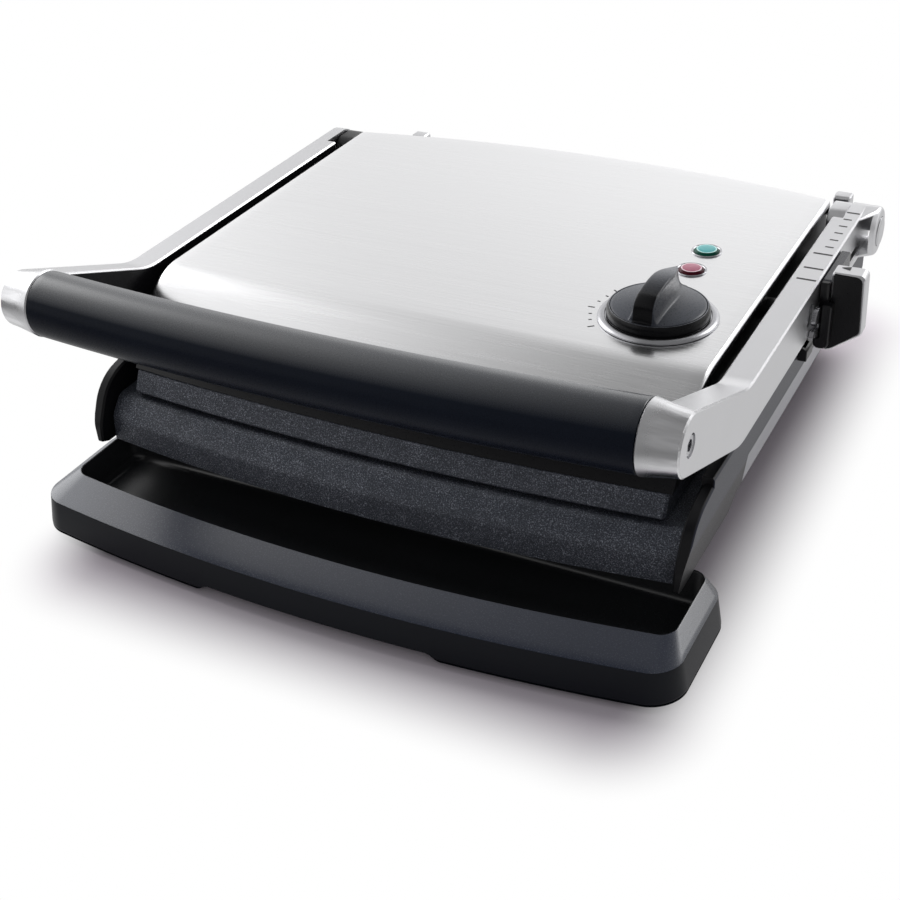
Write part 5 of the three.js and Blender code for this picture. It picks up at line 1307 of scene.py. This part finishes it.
    def build(self) -> None:
        """Make and dress every piece of the arms."""
        grip = self.grip()
        self.shop.finish_piece(grip, Body.ARMS, Slot.GRIP, replaced=["handle_grip"])
        self.shop.finish_piece(self.marks(), Body.ARMS, Slot.BLACK)
        self.shop.finish_piece(self.arrow(), Body.SLIDER, Slot.BLACK)
        for side in ("right", "left"):
            casting = self.casting(side)
            self.shop.finish_piece(
                casting, Body.ARMS, Slot.SILVER, finish=ARM_CASTING, replaced=[f"arm_{side}"]
            )
        for name, slot in (
            ("arm_inner_cover_right", Slot.BLACK),
            ("arm_inner_cover_left", Slot.BLACK),
            ("handle_core", Slot.STEEL),
            ("handle_bolt_right", Slot.STEEL),
            ("handle_bolt_left", Slot.STEEL),
            ("hinge_cap", Slot.SILVER),
            ("pivot_bolt_right", Slot.STEEL),
            ("pivot_bolt_left", Slot.STEEL),
            ("pivot_spacer_right", Slot.BLACK),
            ("pivot_spacer_left", Slot.BLACK),
            ("height_slider", PAD_MOULDING),
            ("slider_knob", Slot.SILVER),
            ("slider_knob_face", Slot.BLACK),
            ("latch_bracket", Slot.BLACK),
            ("latch_hook", Slot.STEEL),
        ):
            self.shop.dress_node(name, slot)


@dataclass
class DripTray:
    """The tray that pulls out at the front."""

    shop: Workshop
    half_width: float = 173.0
    front: float = -310.6
    rear: float = -240.5
    bow: float = 14.3
    bottom: float = 3.8
    band_top: float = 21.0
    rim: float = 26.0
    front_bevel: float = 20.5
    side_bevel: float = 7.5
    rear_bevel: float = 0.8
    corner: float = 13.0
    rim_corner: float = 7.5
    floor: float = 6.8
    hold_half: float = 67.0
    hold_rise: float = 3.4
    hold_ease: float = 7.0
    tongue_x: float = 60.0
    tongue_half: float = 8.0
    tongue_root: float = 0.9
    tongue_length: float = 60.0
    tongue_levels: Pair = (5.0, 8.0)
    tongue_ease: float = 0.4
    least_corner: float = 1.0
    rear_slack: float = 1.0
    flare: float = 2.4
    foot_draw: float = 0.2
    flare_steps: tuple[Pair, ...] = ((0.5, 0.25), (0.75, 0.7), (0.9, 1.4), (0.9, 2.2))
    underside: float = 17.0
    crease: tuple[Corner, ...] = ((0.0, 0.0, 0.3), (0.0, 0.04, 0.12), (0.006, 0.04, 0.02))
    bevel_steps: tuple[float, ...] = (0.02, 0.25, 0.5, 0.75, 0.985)
    lip: tuple[Pair, ...] = ((0.35, 0.1), (0.8, -0.1), (1.0, -0.6))
    cove: tuple[Pair, ...] = ((1.2, 3.6), (1.8, 1.8), (3.0, 0.5), (4.8, 0.0))
    front_points: int = 180

    def ring(self, share: float, inward: float) -> Array:
        """One level of the tray in plan: a rounded oblong whose front edge bows forward.

        The bow grows from the rear corners to the front in proportion to the depth, and across the width
        it is one minus the square of the share of the half width.

        Args:
            share: 0 at the foot of the bevel, 1 at the rim.
            inward: Millimetres drawn in from there.

        Returns:
            Points once round, front edge first.
        """
        half = self.half_width - share * self.side_bevel - inward
        near = self.front + share * self.front_bevel + inward
        far = self.rear - share * self.rear_bevel - inward
        radius = self.corner + share * (self.rim_corner - self.corner) - inward
        radius = max(self.least_corner, radius)
        quarter = np.radians(np.linspace(0, 90, 17))
        span = half - radius
        across = np.linspace(-span, span, self.front_points)[1:-1]
        edge = np.stack([across, np.full(len(across), near)], 1)
        corners = [
            np.stack([x + radius * np.cos(start + quarter), y + radius * np.sin(start + quarter)], 1)
            for x, y, start in (
                (span, near + radius, -math.pi / 2),
                (span, far - radius, 0.0),
                (-span, far - radius, math.pi / 2),
                (-span, near + radius, math.pi),
            )
        ]
        points = np.concatenate([edge, *corners])
        depth = np.clip((points[:, 1] - (far - radius)) / (near - (far - radius)), 0, 1)
        bowed = points[:, 1] - self.bow * depth * (1 - (points[:, 0] / self.half_width) ** 2)
        return np.stack([points[:, 0], bowed], 1)

    def lift(self) -> Array:
        """How far the finger hold raises the lower edge at each point of a ring, by a smooth step."""
        across = np.abs(self.ring(0.0, 0.0)[:, 0])
        share = np.clip((self.hold_half - across) / self.hold_ease, 0, 1)
        at_front = np.arange(len(across)) < self.front_points - 2
        return np.where(at_front, self.hold_rise * smooth_step(share), 0.0)

    def outside(self) -> list[Level]:
        """Levels from under the floor, round the flared foot and up the wall to the crease."""
        lift = self.lift()
        flat = np.zeros(len(lift))
        rows = [(0.0, self.underside, self.bottom + flat), (0.0, self.underside, self.bottom + lift)]
        rows.append((0.0, self.foot_draw - self.flare, self.bottom + lift))
        for share, rise in self.flare_steps:
            rows.append((0.0, -share * self.flare, self.bottom + np.maximum(rise, lift)))
        return rows + [(share, inward, self.band_top - drop + flat) for share, inward, drop in self.crease]

    def bevel(self) -> list[Level]:
        """Levels from the crease up the sloping band to the lip."""
        height = self.rim - self.band_top
        share, inward, drop = self.crease[-1]
        rows = [(share, inward, self.band_top + share * height - drop)]
        rows += [(step, 0.0, self.band_top + step * height) for step in self.bevel_steps]
        return rows + [(1.0, 0.0, self.rim), (1.0, self.lip[0][0], self.rim + self.lip[0][1])]

    def inside(self) -> list[Level]:
        """Levels from the lip down the inner wall and round the cove to the floor."""
        rows = [(1.0, inward, self.rim + rise) for inward, rise in self.lip]
        return rows + [(1.0, inward, self.floor + rise) for inward, rise in self.cove]

    def build(self) -> None:
        """Make and dress the tray."""
        work = Patchwork()
        at_rear = self.ring(0.0, 0.0)[:, 1] > self.rear - self.rear_slack
        numbers = []
        # the bevel takes the lighter, bluer tone, partly painted reflection; along the rear it takes the
        # inside's darker tone, painted shade under the lower plate's apron
        bevel_zone = np.where(at_rear, 2.0, 1.0)
        for rows, zone in ((self.outside(), 0.0), (self.bevel(), bevel_zone), (self.inside(), 2.0)):
            rings = [np.insert(self.ring(share, inward), 2, height, axis=1) for share, inward, height in rows]
            numbers.append(work.grid(np.stack(rings), wrap=True, zone=zone))
        work.cap(numbers[0][0])
        work.cap(numbers[-1][-1], 2.0)
        low, high = self.tongue_levels
        near, far = self.rear - self.tongue_root, self.rear + self.tongue_length
        for middle in (self.tongue_x, -self.tongue_x):
            left, right = middle - self.tongue_half, middle + self.tongue_half
            work.block((left, near, low), (right, far, high), self.tongue_ease)
        tray = work.object("tray_moulding", sharp=38.0)
        self.shop.finish_piece(tray, Body.TRAY, Slot.BLACK, finish=TRAY_MOULDING, replaced=["drip_tray"])


@dataclass
class Base:
    """The housing that stands on the worktop, with the lower plate."""

    shop: Workshop

    def build(self) -> None:
        """Make and dress every piece of the base."""
        for name, slot in (
            ("base_housing", HOUSING_MOULDING),
            ("side_strip_right", Slot.TRIM),
            ("side_strip_left", Slot.TRIM),
            ("bottom_cover", Slot.BLACK),
            ("lower_plate", Slot.PLATE),
            ("lower_heating_element", Slot.ELEMENT),
            ("lower_reflector", Slot.STEEL),
            ("thermal_fuse", Slot.CERAMIC),
            ("terminal_block", Slot.CERAMIC),
            ("cord_inlet_gland", Slot.FOOT),
            ("latch_keeper", Slot.BLACK),
            ("hinge_tower_right", Slot.SILVER),
            ("hinge_tower_left", Slot.BLACK),
            ("hinge_pin_right", Slot.STEEL),
            ("hinge_pin_left", Slot.STEEL),
            ("rear_cover", Slot.SLATE),
            ("rear_stand_right", Slot.SILVER),
            ("rear_stand_left", Slot.SILVER),
            ("foot_front_right", Slot.FOOT),
            ("foot_front_left", Slot.FOOT),
            ("foot_rear_right", Slot.FOOT),
            ("foot_rear_left", Slot.FOOT),
        ):
            self.shop.dress_node(name, slot)


# ---------------------------------------------------------------------------------------------------------
# Studio
# ---------------------------------------------------------------------------------------------------------


@dataclass(frozen=True)
class Softbox:
    """A rectangular light that looks at a point and isn't mirrored."""

    name: str
    place: Corner
    aim: Corner
    size: Pair
    power: float

    def build(self) -> None:
        """Hang the light."""
        light = bpy.data.lights.new(self.name, "AREA")
        light.shape = "RECTANGLE"
        light.size, light.size_y = self.size
        light.energy = self.power
        lamp = bpy.data.objects.new(self.name, light)
        bpy.context.scene.collection.objects.link(lamp)
        lamp.visible_glossy = False
        towards = Vector(self.aim) - Vector(self.place)
        lamp.location = self.place
        lamp.rotation_mode = "QUATERNION"
        lamp.rotation_quaternion = towards.to_track_quat("-Z", "Y")


@dataclass
class Studio:
    """Camera, floor, lights and surroundings."""

    azimuth: float = 28.571
    elevation: float = 32.712
    roll: float = 2.95
    lens: float = 58.7
    sensor: float = 36.0
    clip: Pair = (0.02, 60.0)
    camera_place: Corner = (0.30837, -0.63804, 0.44419)
    floor_half: float = 6.0
    floor_depth: float = -0.0001
    # a purple tint that shows only near the object: painted shadow colour
    floor_colour: Colour = (0.78, 0.71, 0.77)
    # half sizes of the box round which the painted shadow lies, in metres
    shadow_box: Pair = (0.132, 0.188)
    fade_start: float = 0.006
    fade_end: float = 0.06
    # how much darker the mirrored floor is ahead of the object: painted shade in reflections
    shade_ahead: Ends = (-0.5, -0.24, 0.25, 0.75)
    sky: tuple[Pair, ...] = (
        (0.0, 1.15), (0.33, 1.15), (0.41, 1.06), (0.5, 0.72), (0.7, 0.62), (0.86, 0.32), (1.0, 0.28),
    )
    rear: Ends = (-0.1, 0.5, 0.0, 1.0)
    rightward: Ends = (-0.5, -0.28, 0.9, 1.1)
    left: Ends = (0.26, 0.6, 0.3, 1.15)
    windows: tuple[tuple[Corner, float, float, float], ...] = (
        ((-0.86, 0.24, 0.45), 0.89, 0.975, 3.6),
        ((0.345, 0.74, 0.574), 0.955, 0.992, 5.0),
    )
    fill_colour: Colour = (0.95, 0.96, 1.0)
    fill_level: float = 0.25

    def camera(self) -> None:
        """Set the camera: looking down and round by two angles, then rolled about its own line of sight."""
        azimuth, elevation, roll = (math.radians(a) for a in (self.azimuth, self.elevation, self.roll))
        right = Vector((math.cos(azimuth), math.sin(azimuth), 0))
        back = Vector((
            math.sin(azimuth) * math.cos(elevation),
            -math.cos(azimuth) * math.cos(elevation),
            math.sin(elevation),
        ))
        upward = back.cross(right)
        across = right * math.cos(roll) - upward * math.sin(roll)
        upright = upward * math.cos(roll) + right * math.sin(roll)
        data = bpy.data.cameras.new("camera")
        data.sensor_width = self.sensor
        data.lens = self.lens
        data.clip_start, data.clip_end = self.clip
        camera = bpy.data.objects.new("camera", data)
        bpy.context.scene.collection.objects.link(camera)
        turn = Matrix((across, upright, back)).transposed().to_4x4()
        camera.matrix_world = Matrix.Translation(self.camera_place) @ turn
        bpy.context.scene.camera = camera

    def floor(self) -> None:
        """Lay a white floor.

        Beside the object it is a diffuse floor tinted like a shadow, which takes the lamps' shadow and is
        darker than
        the white round it: a painted shadow that deepens towards an upright box round the object's middle.
        The plain background takes over from it by a smooth step of the distance to that box. What metal
        mirrors of it is darker ahead of the object, painted shade in its reflection.
        """
        half, low = self.floor_half, self.floor_depth
        mesh = bpy.data.meshes.new("floor")
        corners = [(-half, -half, low), (half, -half, low), (half, half, low), (-half, half, low)]
        mesh.from_pydata(corners, [], [(0, 1, 2, 3)])
        floor = bpy.data.objects.new("floor", mesh)
        bpy.context.scene.collection.objects.link(floor)
        material = bpy.data.materials.new("white floor")
        material.use_nodes = True
        wiring = Wiring(material.node_tree)
        nodes = wiring.nodes
        path = nodes.new("ShaderNodeLightPath").outputs
        place = nodes.new("ShaderNodeTexCoord").outputs["Object"]
        beyond = wiring.measure("SUBTRACT", wiring.measure("ABSOLUTE", place), (*self.shadow_box, 1.0))
        reach = wiring.measure("LENGTH", wiring.measure("MAXIMUM", beyond, (0.0, 0.0, 0.0)))
        # near the box the tinted diffuse floor stays: a painted shadow that fades into white
        fade = wiring.map_range(reach, (self.fade_start, self.fade_end, 0.0, 1.0), smooth=True)
        seen = wiring.calculate("MAXIMUM", path["Is Camera Ray"], path["Is Glossy Ray"])
        # painted shade in what metal mirrors of the floor in front
        ahead = wiring.map_range(wiring.parts(place)["Y"], self.shade_ahead)
        diffuse = nodes.new("ShaderNodeBsdfDiffuse")
        wiring.put(self.floor_colour, diffuse.inputs["Color"])
        plain = nodes.new("ShaderNodeEmission")
        wiring.put(WHITE, plain.inputs["Color"])
        wiring.put(wiring.blend(path["Is Glossy Ray"], 1.0, ahead, Blend.NUMBER), plain.inputs["Strength"])
        share = wiring.calculate("MULTIPLY", fade, seen)
        output = nodes.new("ShaderNodeOutputMaterial")
        mixed = wiring.shader_between(share, diffuse.outputs[0], plain.outputs[0])
        wiring.put(mixed, output.inputs["Surface"])
        mesh.materials.append(material)

    def surroundings(self) -> None:
        """Set the world.

        It is white behind everything. What metal mirrors is the brighter of two parts. One grows evenly
        towards the left, by the share of the direction that points there. The other lies behind the
        object, is bright low down, fades overhead and gains a little towards the right. Two bright windows
        stand in front of both: each grows smoothly with the cosine between a direction and its own. What
        lights the object is a plain dim white.
        """
        world = bpy.data.worlds.new("studio")
        bpy.context.scene.world = world
        world.use_nodes = True
        wiring = Wiring(world.node_tree)
        place = wiring.nodes.new("ShaderNodeTexCoord").outputs["Generated"]
        parts = wiring.parts(place)
        sky = wiring.tint(parts["Z"], [(position, (level,) * 3) for position, level in self.sky])
        behind = wiring.calculate("MULTIPLY", sky, wiring.map_range(parts["Y"], self.rear))
        behind = wiring.calculate("MULTIPLY", behind, wiring.map_range(parts["X"], self.rightward))
        left = wiring.map_range(wiring.calculate("MULTIPLY", parts["X"], -1.0), self.left)
        brightest = wiring.calculate("MAXIMUM", behind, left)
        for towards, edge, core, level in self.windows:
            cosine = wiring.measure("DOT_PRODUCT", place, Vector(towards).normalized())
            window = wiring.map_range(cosine, (edge, core, 0.0, level), smooth=True)
            brightest = wiring.calculate("MAXIMUM", brightest, window)
        path = wiring.nodes.new("ShaderNodeLightPath").outputs
        fill = wiring.background(self.fill_colour, self.fill_level)
        lit = wiring.shader_between(path["Is Glossy Ray"], fill, wiring.background(brightest))
        seen = wiring.calculate("MAXIMUM", path["Is Camera Ray"], path["Is Transmission Ray"])
        output = wiring.nodes.new("ShaderNodeOutputWorld")
        wiring.put(wiring.shader_between(seen, lit, wiring.background(WHITE)), output.inputs["Surface"])

    def lights(self) -> None:
        """Hang the soft lights."""
        for light in (
            Softbox("softbox behind", (-0.7, 1.9, 1.1), (0.0, -0.1, 0.0), (2.4, 1.0), 54.0),
            Softbox("softbox above", (-1.0, 0.3, 1.5), (0.0, -0.1, 0.0), (1.2, 1.2), 11.0),
            Softbox("softbox front", (0.9, -1.5, 1.3), (0.0, -0.1, 0.1), (1.2, 1.0), 4.0),
        ):
            light.build()

    def build(self) -> None:
        """Set up everything but the object."""
        self.camera()
        self.floor()
        self.surroundings()
        self.lights()
        bpy.context.scene.view_settings.view_transform = "Standard"


def main() -> None:
    """Build the looks in order."""
    logging.basicConfig(level=logging.INFO, format="%(message)s")
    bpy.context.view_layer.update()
    Studio().build()
    shop = Workshop()
    TopHousing(shop).build()
    LiftingArms(shop).build()
    HeatKnob(shop).build()
    DripTray(shop).build()
    Base(shop).build()


if __name__ == "__main__":
    main()
